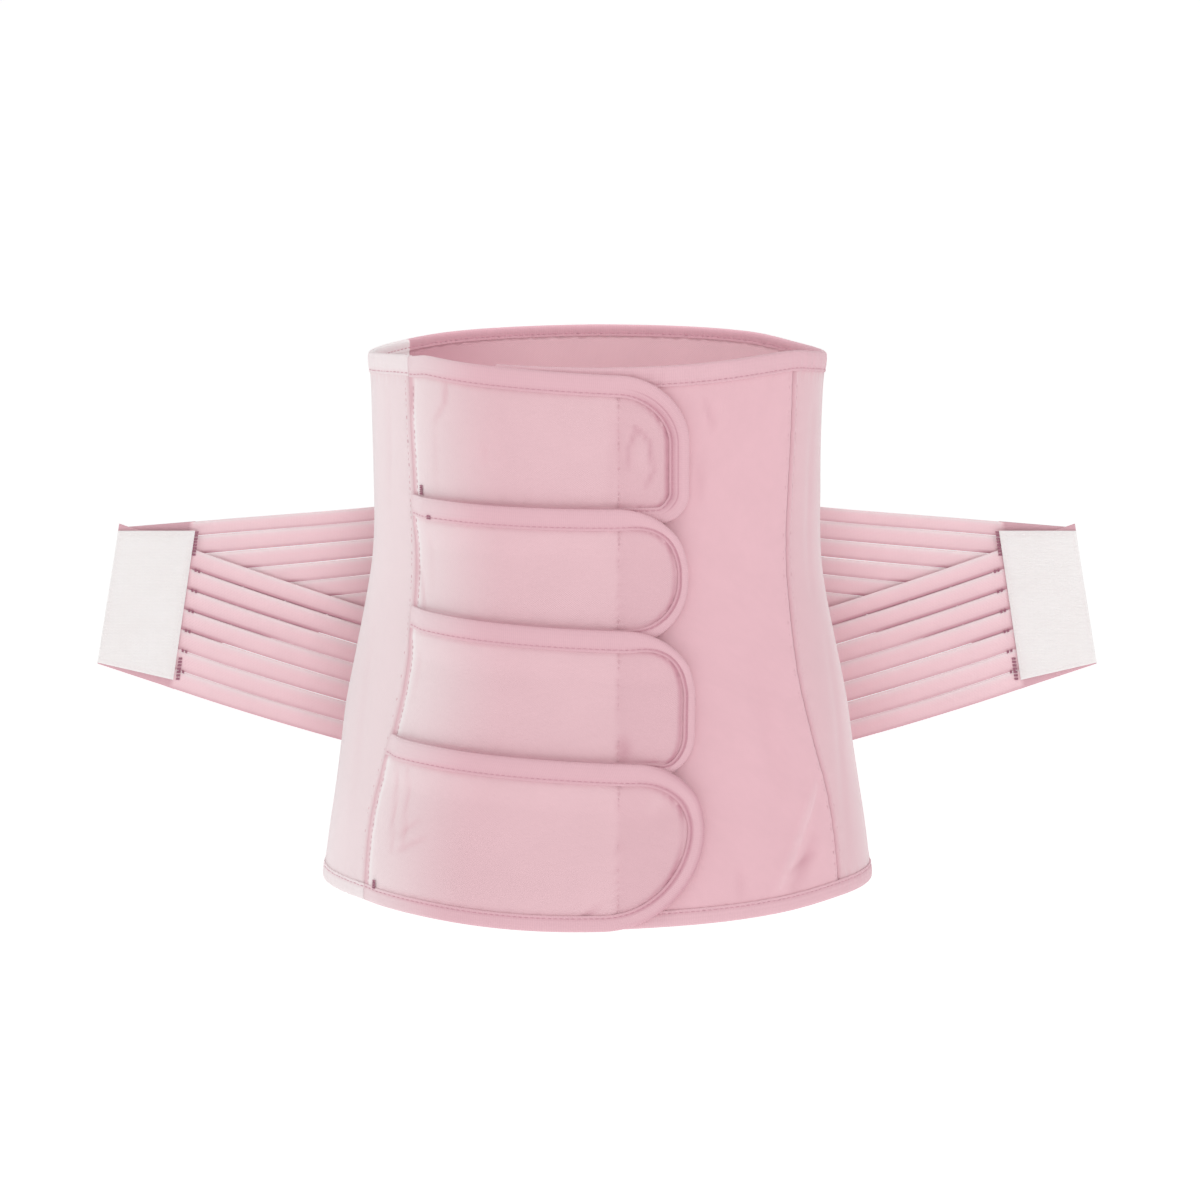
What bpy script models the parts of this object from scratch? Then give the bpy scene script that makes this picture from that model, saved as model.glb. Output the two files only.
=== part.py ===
"""A front-closing maternity belt with four straps and two slit elastic wings.

Metres, +Z up. The wearer faces -Y, and +X is on the right of someone who looks at the front.
The origin is the middle of the waist: the narrowest level, on the axis of the hollow.
"""

import math

import bmesh
import bpy
from mathutils import Vector

# Body: sizes at the inner face of the wall
WAIST_HALF_WIDTH = 0.1312
WAIST_HALF_DEPTH = 0.0845
WAIST_SHIFT = -0.002
RIM_HALF_WIDTH = 0.1336
RIM_HALF_DEPTH = 0.086
RIM_SHIFT = 0.002
HEM_HALF_WIDTH = 0.1632
HEM_HALF_DEPTH = 0.111
HEM_SHIFT = 0.004
RIM_HEIGHT = 0.0924
HEM_DROP = 0.236
RIM_WAVE = 0.006
HEM_WAVE = 0.006

# Cloth and the gaps between pieces
PANEL_THICKNESS = 0.0024
STRAP_THICKNESS = 0.0018
TAPE_THICKNESS = 0.0007
GAP = 0.0004
LAY_GAP = 0.0005

# Bindings: how far the folded tape reaches in from the edge that it wraps
RIM_BINDING_WIDTH = 0.011
HEM_BINDING_WIDTH = 0.009
STRAP_BINDING_WIDTH = 0.0115

# Front closing
SEAM_TURN = 2.2
BACK_SEAM_ANGLE = 122
LANDING_HIDDEN_REACH = 0.058
STRAP_REACH = 0.055
STRAP_CORNER = 0.038
STRAP_FALL = 0.010
RIM_JOIN_TURN = 8
STRAP_OVERLAP = 0.008
OVERLAP_RAMP = 0.019
HOOK_START = 0.012
HOOK_INSET = 0.0045
HOOK_LEAST_WIDTH = 0.012
END_ZONE_LEAD = 0.006
LIFT_RUN_SHARE = 0.91
MITRE_LIMIT = 0.7
NARROWING_SLOPE = 0.85

# Wings: heights are below the waist, reaches are from the middle plane
WING_ROOT_REACH = 0.060
WING_ROOT_LAP = 0.016
WING_ROOT_TOP = 0.0095
WING_ROOT_SPAN = 0.194
WING_TIP_TOP = 0.0272
WING_TIP_SPAN = 0.0873
WING_TIP_REACH = 0.291
WING_TIP_SLANT = 0.0145
WING_TIP_DEPTH = 0.064
TAB_WIDTH = 0.0463
TAB_THICKNESS = 0.0011
HOOK_PAD_THICKNESS = 0.0016
BAND_THICKNESS = 0.0013
SLIT_WIDTH = 0.0012
STRIPS = 7
SLIT_START = 0.006
ROOT_TAPE_WIDTH = 0.012
ROOT_TAPE_RISE = 0.004
PAD_MARGIN = 0.0011
PAD_CORNER_RISE = 0.0069

# Grid fineness
BODY_ROWS = 17
SIDE_COLUMNS = 7
BACK_COLUMNS = 12
LANDING_COLUMNS = 10
STRAP_COLUMNS = 6
STRAP_END_COLUMNS = 4
BAND_COLUMNS = 7
HOOK_COLUMNS = 3
ROOT_TAPE_ROWS = 12
ROOT_TAPE_COLUMNS = 2
SETTLING_PASSES = 4
SHARP_ANGLE = 40

# Rows of a strap: depths below its top edge as shares of its corner's radius, then shares of its height
STRAP_CORNER_ROWS = (0.0, 0.04, 0.12, 0.21)
STRAP_RAMP_ROWS = 3
STRAP_LOW_ROWS = (0.5, 0.7, 0.86, 0.95, 1.0)

# Rows of a hook pad as shares of its height, closer together at its round corners
HOOK_ROWS = (0.0, 0.06, 0.2, 0.5, 0.8, 0.94, 1.0)

# Level (1 at the rim, 0 at the waist, -1 at the hem) and the share of the way from the waist's size
FLARE = (
    (-1.00, 1.00),
    (-0.93, 0.965),
    (-0.84, 0.88),
    (-0.73, 0.755),
    (-0.63, 0.65),
    (-0.52, 0.54),
    (-0.36, 0.305),
    (-0.25, 0.145),
    (-0.157, 0.04),
    (-0.08, 0.004),
    (0.00, 0.00),
    (0.30, 0.08),
    (0.65, 0.42),
    (1.00, 1.00),
)

# Angle round the body (0 front, 90 right) and the edge's rise, as a share of the wave
RIM_LINE = (
    (-180, -0.35),
    (-140, -0.5),
    (-116, -0.75),
    (-90, -0.62),
    (-70, 0.0),
    (-55, 0.38),
    (-25, 0.3),
    (0, 0.2),
    (25, 0.35),
    (57, 0.75),
    (72, 0.15),
    (90, -0.65),
    (116, -0.85),
    (138, -0.4),
    (180, -0.35),
)
HEM_LINE = (
    (-180, 0.0),
    (-110, 0.5),
    (-66, 0.8),
    (-40, 0.35),
    (-12, -0.2),
    (15, 0.0),
    (40, 0.35),
    (62, 0.8),
    (110, 0.5),
    (180, 0.0),
)

# Level and the angle of the front seams, before both are turned by SEAM_TURN
SEAM_LINE = (
    (-1.00, 59.5),
    (-0.80, 60.0),
    (-0.70, 58.9),
    (-0.57, 55.4),
    (-0.46, 53.7),
    (-0.36, 53.6),
    (-0.20, 54.9),
    (-0.06, 55.7),
    (0.22, 56.4),
    (0.60, 57.2),
    (1.00, 57.0),
)

# Strap: share of the front's height to its top edge, fall, reach, top corner, bottom corner,
# and how far the folded tape reaches in at its end
STRAPS = (
    ("strap_1", 0.0, 1.0, 0.92, 1.0, 0.45, 0.0112),
    ("strap_2", 0.245, 0.1, 0.91, 1.05, 1.0, 0.0055),
    ("strap_3", 0.4595, 0.85, 0.985, 1.0, 0.7, 0.0055),
    ("strap_4", 0.6955, 1.0, 1.09, 1.0, 1.5, 0.0078),
)

# Band: shares of the root span at its top and bottom, shares of the tip span at its top and bottom,
# and the height of its first strip as a share of the others'
WING_BANDS = (
    ("lower_band", 0.545, 1.0, 0.0, 1.0, 1.0),
    ("upper_band", 0.0, 0.383, 0.035, 0.942, 0.8),
)

# Colours (linear red, green, blue), roughness, metallic
PINK_CLOTH = ((0.79, 0.53, 0.57), 0.85, 0.0)
PINK_TAPE = ((0.74, 0.46, 0.51), 0.75, 0.0)
PINK_LOOP = ((0.76, 0.48, 0.53), 0.95, 0.0)
PINK_ELASTIC = ((0.82, 0.58, 0.63), 0.8, 0.0)
WHITE_HOOK = ((0.92, 0.85, 0.84), 0.9, 0.0)

FRONT_HEIGHT = RIM_HEIGHT + HEM_DROP
BINDING_STEP = GAP + TAPE_THICKNESS
STRAP_LIFT = PANEL_THICKNESS + 2 * BINDING_STEP + LAY_GAP
OVERLAP_LIFT = STRAP_THICKNESS + 2 * BINDING_STEP + LAY_GAP
OVERLAP_FLAT = max(STRAP_OVERLAP + 2 * BINDING_STEP, STRAP_BINDING_WIDTH) + GAP
FULL_TURN = 360


def along(rows, x):
    """The value at x of a smooth line through the table's rows."""
    last = len(rows) - 1
    x = min(max(x, rows[0][0]), rows[last][0])
    i = max(k for k in range(last) if rows[k][0] <= x)

    def slope(k):
        before, after = rows[max(k - 1, 0)], rows[min(k + 1, last)]
        return (after[1] - before[1]) / (after[0] - before[0])

    (x0, y0), (x1, y1) = rows[i], rows[i + 1]
    h = x1 - x0
    t = (x - x0) / h
    rise = t * t * (3 - 2 * t)
    return (
        y0 + (y1 - y0) * rise
        + h * (slope(i) * (t - 2 * t * t + t ** 3) + slope(i + 1) * (t ** 3 - t * t))
    )


def mix(a, b, share):
    return a + (b - a) * share


def ease(share):
    share = min(max(share, 0.0), 1.0)
    return share * share * (3 - 2 * share)


def spread(start, stop, steps):
    return [mix(start, stop, i / steps) for i in range(steps + 1)]


def level_of(height):
    return height / RIM_HEIGHT if height > 0 else height / HEM_DROP


def body_section(height):
    """Half width, half depth and backward shift of the inner face at a height."""
    share = along(FLARE, level_of(height))
    if height > 0:
        ends = (RIM_HALF_WIDTH, RIM_HALF_DEPTH, RIM_SHIFT)
    else:
        ends = (HEM_HALF_WIDTH, HEM_HALF_DEPTH, HEM_SHIFT)
    waist = (WAIST_HALF_WIDTH, WAIST_HALF_DEPTH, WAIST_SHIFT)
    return [mix(a, b, share) for a, b in zip(waist, ends)]


def body_point(angle, height, offset):
    """A point at this angle and height, offset outwards from the inner face."""
    half_width, half_depth, shift = body_section(height)
    turn = math.radians(angle)
    return Vector((
        (half_width + offset) * math.sin(turn),
        shift - (half_depth + offset) * math.cos(turn),
        height,
    ))


def angle_at(reach, height):
    """The front angle at which the inner face is this far to the right of the middle."""
    return math.degrees(math.asin(reach / body_section(height)[0]))


def wrapped(angle):
    return (angle + FULL_TURN / 2) % FULL_TURN - FULL_TURN / 2


def rim_height(angle):
    return RIM_HEIGHT + RIM_WAVE * along(RIM_LINE, wrapped(angle))


def hem_height(angle):
    return -HEM_DROP + HEM_WAVE * along(HEM_LINE, wrapped(angle))


def left_seam(height):
    return SEAM_TURN - along(SEAM_LINE, level_of(height))


def right_seam(height):
    return SEAM_TURN + along(SEAM_LINE, level_of(height))


def angle_of(length, height):
    """The turn that this length round the body takes at the front."""
    return math.degrees(length / body_section(height)[0])


def material(name, look):
    colour, roughness, metallic = look
    made = bpy.data.materials.new(name)
    made.use_nodes = True
    shader = made.node_tree.nodes["Principled BSDF"]
    shader.inputs["Base Color"].default_value = (*colour, 1)
    shader.inputs["Roughness"].default_value = roughness
    shader.inputs["Metallic"].default_value = metallic
    return made


def finish(name, mesh, look):
    """Makes the closed mesh an object with its normals out, smooth but for its sharp edges."""
    bmesh.ops.recalc_face_normals(mesh, faces=mesh.faces)
    data = bpy.data.meshes.new(name)
    mesh.to_mesh(data)
    mesh.free()
    data.shade_smooth()
    data.set_sharp_from_angle(angle=math.radians(SHARP_ANGLE))
    data.materials.append(material(name, look))
    made = bpy.data.objects.new(name, data)
    bpy.context.scene.collection.objects.link(made)
    return made


def wall(name, inner, outer, look, is_open=None):
    """The closed wall between two grids of points, open where is_open(row, column) says so."""
    mesh = bmesh.new()
    rows, columns = len(inner), len(inner[0])
    is_cloth = {
        (r, c)
        for r in range(rows - 1)
        for c in range(columns - 1)
        if is_open is None or not is_open(r, c)
    }
    corners = {(r + i, c + j) for r, c in is_cloth for i in (0, 1) for j in (0, 1)}
    sides = [{rc: mesh.verts.new(grid[rc[0]][rc[1]]) for rc in corners} for grid in (inner, outer)]
    for r, c in sorted(is_cloth):
        ring = ((r, c), (r, c + 1), (r + 1, c + 1), (r + 1, c))
        for side in sides:
            mesh.faces.new([side[rc] for rc in ring])
        beyond = ((r - 1, c), (r, c + 1), (r + 1, c), (r, c - 1))
        for k, neighbour in enumerate(beyond):
            if neighbour not in is_cloth:
                a, b = ring[k], ring[(k + 1) % 4]
                mesh.faces.new([sides[0][a], sides[0][b], sides[1][b], sides[1][a]])
    return finish(name, mesh, look)


def sweep(name, rings, look):
    """The closed solid through a row of like rings, with a cap at each end."""
    mesh = bmesh.new()
    loops = [[mesh.verts.new(point) for point in ring] for ring in rings]
    count = len(loops[0])
    for first, second in zip(loops, loops[1:]):
        for k in range(count):
            n = (k + 1) % count
            mesh.faces.new([first[k], first[n], second[n], second[k]])
    for cap in (loops[0], loops[-1]):
        mesh.faces.new(cap)
    return finish(name, mesh, look)


def fold_section(width, thickness):
    """Folded tape round an edge: pairs of distance in from the edge and offset from the cloth."""
    low, high = -GAP, thickness + GAP
    below, above = low - TAPE_THICKNESS, high + TAPE_THICKNESS
    return (
        (width, above),
        (-GAP, above),
        (-BINDING_STEP, thickness / 2),
        (-GAP, below),
        (width, below),
        (width, low),
        (-GAP, low),
        (-GAP, high),
        (width, high),
    )


# Body panels


def panel_columns(height):
    """Angles of each panel's columns at a height, going back from the left front seam."""
    right = right_seam(height) - FULL_TURN
    landing_end = -angle_at(LANDING_HIDDEN_REACH, height) - FULL_TURN
    return (
        ("left_side_panel", spread(left_seam(height), -BACK_SEAM_ANGLE, SIDE_COLUMNS)),
        ("back_panel", spread(-BACK_SEAM_ANGLE, BACK_SEAM_ANGLE - FULL_TURN, BACK_COLUMNS)),
        ("right_side_panel", spread(BACK_SEAM_ANGLE - FULL_TURN, right, SIDE_COLUMNS)),
        ("landing_panel", spread(right, landing_end, LANDING_COLUMNS)),
    )


def panel_angle(panel, column, height):
    """The column's angle, drawn in by half the seam's gap at the panel's two sides."""
    angles = panel_columns(height)[panel][1]
    half_gap = angle_of(GAP / 2, height)
    if column == 0:
        return angles[column] - half_gap
    if column == len(angles) - 1:
        return angles[column] + half_gap
    return angles[column]


def make_panels():
    for panel, (name, columns) in enumerate(panel_columns(0)):
        grids = []
        for offset in (0, PANEL_THICKNESS):
            grid = []
            for row in range(BODY_ROWS + 1):
                line = []
                for column in range(len(columns)):
                    angle = panel_angle(panel, column, mix(-HEM_DROP, RIM_HEIGHT, row / BODY_ROWS))
                    height = mix(hem_height(angle), rim_height(angle), row / BODY_ROWS)
                    line.append(body_point(panel_angle(panel, column, height), height, offset))
                grid.append(line)
            grids.append(grid)
        wall(name, *grids, PINK_LOOP if name == "landing_panel" else PINK_CLOTH)


def make_edge_binding(name, edge_height, inwards, width):
    """Folded tape round the rim or the hem, from the left front seam back and round to the front."""
    stations = [(0, 0)]
    for panel, (_, columns) in enumerate(panel_columns(0)):
        stations += [(panel, column) for column in range(1, len(columns))]
    rings = []
    for panel, column in stations:
        at_edge = panel_columns(edge_height(0))[panel][1][column]
        ring = []
        for inset, offset in fold_section(width, PANEL_THICKNESS):
            height = edge_height(at_edge) + inwards * inset
            ring.append(body_point(panel_columns(height)[panel][1][column], height, offset))
        rings.append(ring)
    sweep(name, rings, PINK_TAPE)


# Straps


def strap_span(angle):
    """How far across the closing an angle is: 0 at the left seam, 1 at the straps' ends."""
    left = left_seam(0)
    right = angle_at(STRAP_REACH, 0)
    return (angle - left) / (right - left)


def strap_top(strap, angle):
    """Height of the strap's top edge; the first strap's starts level with the left panel's rim."""
    _, share, fall, *_ = STRAPS[strap]
    line = RIM_HEIGHT - share * FRONT_HEIGHT + STRAP_FALL * fall * (0.5 - strap_span(angle))
    if strap == 0:
        return mix(rim_height(angle), line, ease((angle - left_seam(0)) / RIM_JOIN_TURN))
    return line


def strap_bottom(strap, angle):
    if strap + 1 < len(STRAPS):
        return strap_top(strap + 1, angle) - STRAP_OVERLAP
    return hem_height(angle)


def corner_inset(depth, radius):
    """How far a round corner draws the end in, this deep below the corner's edge."""
    if depth >= radius:
        return 0.0
    return radius - math.sqrt(radius ** 2 - (radius - max(depth, 0)) ** 2)


def strap_end(strap, angle, height, margin=0.0):
    """The angle of the strap's right end at a height, a margin in from its edge.

    Its round corners start from where its top and bottom edges are at the given angle.
    """
    _, _, _, reach, top_corner, bottom_corner, _ = STRAPS[strap]
    from_top = strap_top(strap, angle) - margin - height
    from_bottom = height - strap_bottom(strap, angle) - margin
    inset = max(
        corner_inset(from_top, STRAP_CORNER * top_corner - margin),
        corner_inset(from_bottom, STRAP_CORNER * bottom_corner - margin),
    )
    return angle_at(STRAP_REACH * reach - margin - inset, height)


def strap_lift(strap, angle, height):
    """How far the strap's inner face stands off the body's."""
    seam = left_seam(height)
    landing_end = -angle_at(LANDING_HIDDEN_REACH, height)
    lift = STRAP_LIFT * ease((angle - seam) / ((landing_end - seam) * LIFT_RUN_SHARE))
    if strap > 0:
        depth = strap_top(strap, angle) - height
        lift += OVERLAP_LIFT * (1 - ease((depth - OVERLAP_FLAT) / OVERLAP_RAMP))
    return lift


def strap_rows(strap):
    """Shares of the strap's height, closer together in the lifted edge and the round corners."""
    height = strap_top(strap, 0) - strap_bottom(strap, 0)
    depths = [share * STRAP_CORNER for share in STRAP_CORNER_ROWS]
    depths += spread(OVERLAP_FLAT, OVERLAP_FLAT + OVERLAP_RAMP, STRAP_RAMP_ROWS)
    return [depth / height for depth in depths] + list(STRAP_LOW_ROWS)


def strap_columns(strap, angle, height):
    """Angles of the columns, from the sewn left end to the round right end, on the row at this spot."""
    _, _, _, reach, top_corner, bottom_corner, _ = STRAPS[strap]
    left = left_seam(height) + angle_of(GAP, height)
    corner = STRAP_CORNER * max(top_corner, bottom_corner)
    middle = angle_at(STRAP_REACH * reach - corner - END_ZONE_LEAD, height)
    end = strap_end(strap, angle, height)
    return spread(left, middle, STRAP_COLUMNS) + spread(middle, end, STRAP_END_COLUMNS)[1:]


def strap_spot(strap, row_share, column):
    """Angle and height on the strap: row 0 is the top edge, column 0 the sewn left end."""
    angle = 0.0
    for _ in range(SETTLING_PASSES):
        height = mix(strap_top(strap, angle), strap_bottom(strap, angle), row_share)
        angle = strap_columns(strap, angle, height)[column]
    return angle, height


def strap_point(strap, angle, height, offset):
    return body_point(angle, height, strap_lift(strap, angle, height) + offset)


def make_strap(strap):
    name = STRAPS[strap][0]
    columns = range(STRAP_COLUMNS + STRAP_END_COLUMNS + 1)
    spots = [[strap_spot(strap, row, column) for column in columns] for row in strap_rows(strap)]
    grids = [
        [[strap_point(strap, *spot, offset) for spot in line] for line in spots]
        for offset in (0, STRAP_THICKNESS)
    ]
    wall(name, *grids, PINK_CLOTH)
    edge = spots[0] + [line[-1] for line in spots[1:-1]] + spots[-1][::-1]
    make_strap_binding(name + "_binding", strap, edge)


def make_strap_binding(name, strap, edge):
    """Folded tape along the strap's top edge, round its end and back along its bottom edge.

    The edge is laid out flat first: distance round from the left seam, and height.
    """
    girth = body_section(0)[0]
    *_, end_width = STRAPS[strap]
    flat = []
    for angle, height in edge:
        flat.append(Vector((math.radians(angle - left_seam(height)) * girth, height)))
    rings = []
    last = len(flat) - 1
    for i, spot in enumerate(flat):
        before = (spot - flat[max(i - 1, 0)]).normalized()
        after = (flat[min(i + 1, last)] - spot).normalized()
        ahead = (before + after).normalized()
        inward = Vector((ahead.y, -ahead.x)) if 0 < i < last else Vector((0, -1 if i == 0 else 1))
        next_inward = Vector((after.y, -after.x)) if i < last else inward
        stretch = 1 / max(inward.dot(next_inward), MITRE_LIMIT)
        straight_width = STRAP_BINDING_WIDTH if i < last / 2 else HEM_BINDING_WIDTH
        width = mix(straight_width, end_width, ease(abs(ahead.y) / NARROWING_SLOPE))
        ring = []
        for inset, offset in fold_section(width, STRAP_THICKNESS):
            reach = inset * stretch if inset < 0 else inset
            moved = spot + inward * reach
            angle = math.degrees(moved.x / girth) + left_seam(moved.y)
            ring.append(strap_point(strap, angle, moved.y, offset))
        rings.append(ring)
    sweep(name, rings, PINK_TAPE)


def make_strap_hook_pad(strap):
    """The plain hook piece between the strap's end and the landing panel."""
    strap_name, _, _, reach, _, bottom_corner, end_width = STRAPS[strap]
    margin = end_width + HOOK_INSET
    top_margin = STRAP_BINDING_WIDTH + LAY_GAP
    if strap > 0:
        top_margin = OVERLAP_FLAT + OVERLAP_RAMP
    widest_inset = STRAP_REACH * reach - margin - HOOK_START - HOOK_LEAST_WIDTH
    corner_depth = corner_inset(widest_inset, STRAP_CORNER * bottom_corner - margin)
    bottom_margin = max(HEM_BINDING_WIDTH + LAY_GAP, margin + corner_depth)
    inner = PANEL_THICKNESS + LAY_GAP
    outer = STRAP_LIFT - LAY_GAP
    grids = []
    for offset in (inner, outer):
        grid = []
        for row in HOOK_ROWS:
            line = []
            for column in spread(0, 1, HOOK_COLUMNS):
                middle = angle_at(HOOK_START, 0)
                top = strap_top(strap, middle) - top_margin
                bottom = strap_bottom(strap, middle) + bottom_margin
                height = mix(top, bottom, row)
                start = angle_at(HOOK_START, height)
                end = strap_end(strap, middle, height, margin)
                line.append(body_point(mix(start, end, column), height, offset))
            grid.append(line)
        grids.append(grid)
    wall(strap_name + "_hook_pad", *grids, PINK_LOOP)


# Wings


def back_face(reach, height, offset):
    """Y of the body's back at this reach, offset outwards from the inner face."""
    half_width, half_depth, shift = body_section(height)
    across = reach / (half_width + offset)
    return shift + (half_depth + offset) * math.sqrt(1 - across ** 2)


def back_slope(reach, height, offset):
    """How fast that face turns forwards at this reach."""
    half_width, half_depth, _ = body_section(height)
    across = reach / (half_width + offset)
    return -(half_depth + offset) * across / (half_width + offset) / math.sqrt(1 - across ** 2)


def wing_depth(reach, height):
    """Y of the face between a wing's two bands: it leaves the back panel flush and ends flat."""
    clearance = LAY_GAP + BAND_THICKNESS + GAP / 2
    near = min(reach, WING_ROOT_REACH)
    start = back_face(near, height, PANEL_THICKNESS) + clearance
    if reach <= WING_ROOT_REACH:
        return start
    slope = back_slope(near, height, PANEL_THICKNESS)
    run = wing_inner_reach(0) - WING_ROOT_REACH
    t = min((reach - WING_ROOT_REACH) / run, 1.0)
    return mix(start, WING_TIP_DEPTH, ease(t)) + run * slope * (t - 2 * t * t + t ** 3)


def wing_outer_reach(share):
    """The reach of the wing's outer end, this share of the way down it."""
    return WING_TIP_REACH + WING_TIP_SLANT * share


def wing_inner_reach(share):
    """The reach of the tab's inner edge, this share of the way down it."""
    return wing_outer_reach(share) - TAB_WIDTH


def wing_point(side, reach, height, offset):
    return Vector((side * reach, wing_depth(reach, height) + offset, height))


def band_spot(band, along_share, down_share):
    """Reach and height on a band: along from root to tip, down from its top edge to its bottom."""
    _, root_top, root_bottom, tip_top, tip_bottom, _ = WING_BANDS[band]
    root = -WING_ROOT_TOP - WING_ROOT_SPAN * mix(root_top, root_bottom, down_share)
    tip_share = mix(tip_top, tip_bottom, down_share)
    tip = -WING_TIP_TOP - WING_TIP_SPAN * tip_share
    reach = mix(WING_ROOT_REACH - WING_ROOT_LAP, wing_outer_reach(tip_share), along_share)
    return reach, mix(root, tip, along_share)


def band_columns(band, down_share):
    """Shares along a band: the sewn root, the slit stretch and the end that the tab holds."""
    start, _ = band_spot(band, 0, down_share)
    end, _ = band_spot(band, 1, down_share)
    tip_share = mix(*WING_BANDS[band][3:5], down_share)
    first = (WING_ROOT_REACH + SLIT_START - start) / (end - start)
    last = (wing_inner_reach(tip_share) - start) / (end - start)
    return [0.0, first / 2] + spread(first, last, BAND_COLUMNS) + [1.0]


def band_rows(band):
    """Shares down a band of the edges of its strips and slits."""
    _, root_top, root_bottom, _, _, first = WING_BANDS[band]
    slit = SLIT_WIDTH / (WING_ROOT_SPAN * (root_bottom - root_top))
    strip = (1 - slit * (STRIPS - 1)) / (STRIPS - 1 + first)
    edges = [0.0, first * strip]
    for _ in range(STRIPS - 1):
        start = edges[-1] + slit
        edges += [start, start + strip]
    return edges


def make_band(side, side_name, band, near):
    """One slit elastic band. near is the offset of the face that looks forwards."""
    rows = band_rows(band)
    columns = len(band_columns(band, 0))
    grids = []
    for offset in (near, near + BAND_THICKNESS):
        grid = []
        for down in rows:
            line = []
            for share in band_columns(band, down):
                reach, height = band_spot(band, share, down)
                line.append(wing_point(side, reach, height, offset))
            grid.append(line)
        grids.append(grid)

    def is_slit(row, column):
        return row % 2 == 1 and 2 <= column < columns - 2

    wall(f"wing_{side_name}_{WING_BANDS[band][0]}", *grids, PINK_ELASTIC, is_slit)


def make_tab_piece(name, side, corners, near, thickness, look):
    """A flat four-cornered piece at the wing's tip, one cell each way."""
    grids = [
        [[wing_point(side, reach, height, offset) for reach, height in line] for line in corners]
        for offset in (near, near + thickness)
    ]
    wall(name, *grids, look)


def tab_corners():
    """Corners of the stack of both bands at the tip: top inner and outer, bottom inner and outer."""
    inner_share = 1 - TAB_WIDTH / (WING_TIP_REACH - WING_ROOT_REACH + WING_ROOT_LAP)
    top_inner = band_spot(1, inner_share, 0)[1]
    top_outer = band_spot(1, 1, 0)[1]
    bottom_inner = band_spot(0, inner_share, 1)[1]
    bottom_outer = band_spot(0, 1, 1)[1]
    return (
        ((wing_inner_reach(0), top_inner), (wing_outer_reach(0), top_outer)),
        ((wing_inner_reach(1), bottom_inner), (wing_outer_reach(1), bottom_outer)),
    )


def hook_pad_corners():
    """The white pad: level along its top, and inside the stack's outline."""
    (top_inner, top_outer), (bottom_inner, bottom_outer) = tab_corners()
    top = top_outer[1] - PAD_MARGIN
    return (
        ((top_inner[0], top), (top_outer[0], top)),
        (
            (bottom_inner[0], bottom_inner[1] + PAD_CORNER_RISE),
            (bottom_outer[0], bottom_outer[1] + PAD_MARGIN),
        ),
    )


def make_root_tape(side, side_name):
    """The tape that sews both band roots to the back panel."""
    near = GAP / 2 + BAND_THICKNESS + GAP
    top = -WING_ROOT_TOP + ROOT_TAPE_RISE
    bottom = -WING_ROOT_TOP - WING_ROOT_SPAN - ROOT_TAPE_RISE
    start = WING_ROOT_REACH - WING_ROOT_LAP
    reaches = spread(start, start + ROOT_TAPE_WIDTH, ROOT_TAPE_COLUMNS)
    heights = spread(top, bottom, ROOT_TAPE_ROWS)
    grids = [
        [[wing_point(side, reach, height, offset) for reach in reaches] for height in heights]
        for offset in (near, near + TAPE_THICKNESS)
    ]
    wall(f"wing_{side_name}_root_tape", *grids, PINK_TAPE)


def make_wing(side, side_name):
    lower_near = -GAP / 2 - BAND_THICKNESS
    upper_near = GAP / 2
    make_band(side, side_name, 0, lower_near)
    make_band(side, side_name, 1, upper_near)
    tab_near = upper_near + BAND_THICKNESS + GAP
    make_tab_piece(f"wing_{side_name}_tab", side, tab_corners(), tab_near, TAB_THICKNESS, PINK_CLOTH)
    pad_near = lower_near - GAP - HOOK_PAD_THICKNESS
    make_tab_piece(
        f"wing_{side_name}_hook_pad", side, hook_pad_corners(), pad_near, HOOK_PAD_THICKNESS, WHITE_HOOK
    )
    make_root_tape(side, side_name)


def main():
    for old in list(bpy.data.objects):
        bpy.data.objects.remove(old)
    make_panels()
    make_edge_binding("top_binding", rim_height, -1, RIM_BINDING_WIDTH)
    make_edge_binding("bottom_binding", hem_height, 1, HEM_BINDING_WIDTH)
    for strap in range(len(STRAPS)):
        make_strap(strap)
        make_strap_hook_pad(strap)
    make_wing(-1, "left")
    make_wing(1, "right")


main()
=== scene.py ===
"""Looks of the front-closing maternity belt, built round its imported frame.

Metres, +Z up. The wearer faces -Y, and left and right are those of someone who looks at the front.
"""

import math
from functools import partial

import bpy
import numpy as np
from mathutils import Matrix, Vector


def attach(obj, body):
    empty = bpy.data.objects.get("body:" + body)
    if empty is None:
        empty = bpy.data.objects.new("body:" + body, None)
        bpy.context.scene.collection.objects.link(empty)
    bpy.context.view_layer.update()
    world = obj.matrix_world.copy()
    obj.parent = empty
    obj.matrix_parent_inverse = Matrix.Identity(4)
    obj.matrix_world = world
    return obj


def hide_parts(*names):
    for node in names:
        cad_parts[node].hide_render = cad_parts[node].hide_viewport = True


bl_info = {
    "name": "Maternity Belt",
    "version": (1, 0, 0),
    "blender": (4, 5, 0),
    "location": "3D View > Sidebar > Belt",
    "description": "Cloth panels, closing straps, slit wings and stitches of a maternity belt",
    "category": "Add Mesh",
}

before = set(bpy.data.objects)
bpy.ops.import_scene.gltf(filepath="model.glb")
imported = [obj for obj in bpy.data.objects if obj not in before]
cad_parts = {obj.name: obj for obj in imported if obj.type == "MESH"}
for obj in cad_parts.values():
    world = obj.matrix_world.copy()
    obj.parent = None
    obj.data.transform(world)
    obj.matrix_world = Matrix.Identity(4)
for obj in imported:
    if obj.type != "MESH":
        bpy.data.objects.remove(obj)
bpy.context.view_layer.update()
BODY = "root"

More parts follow.
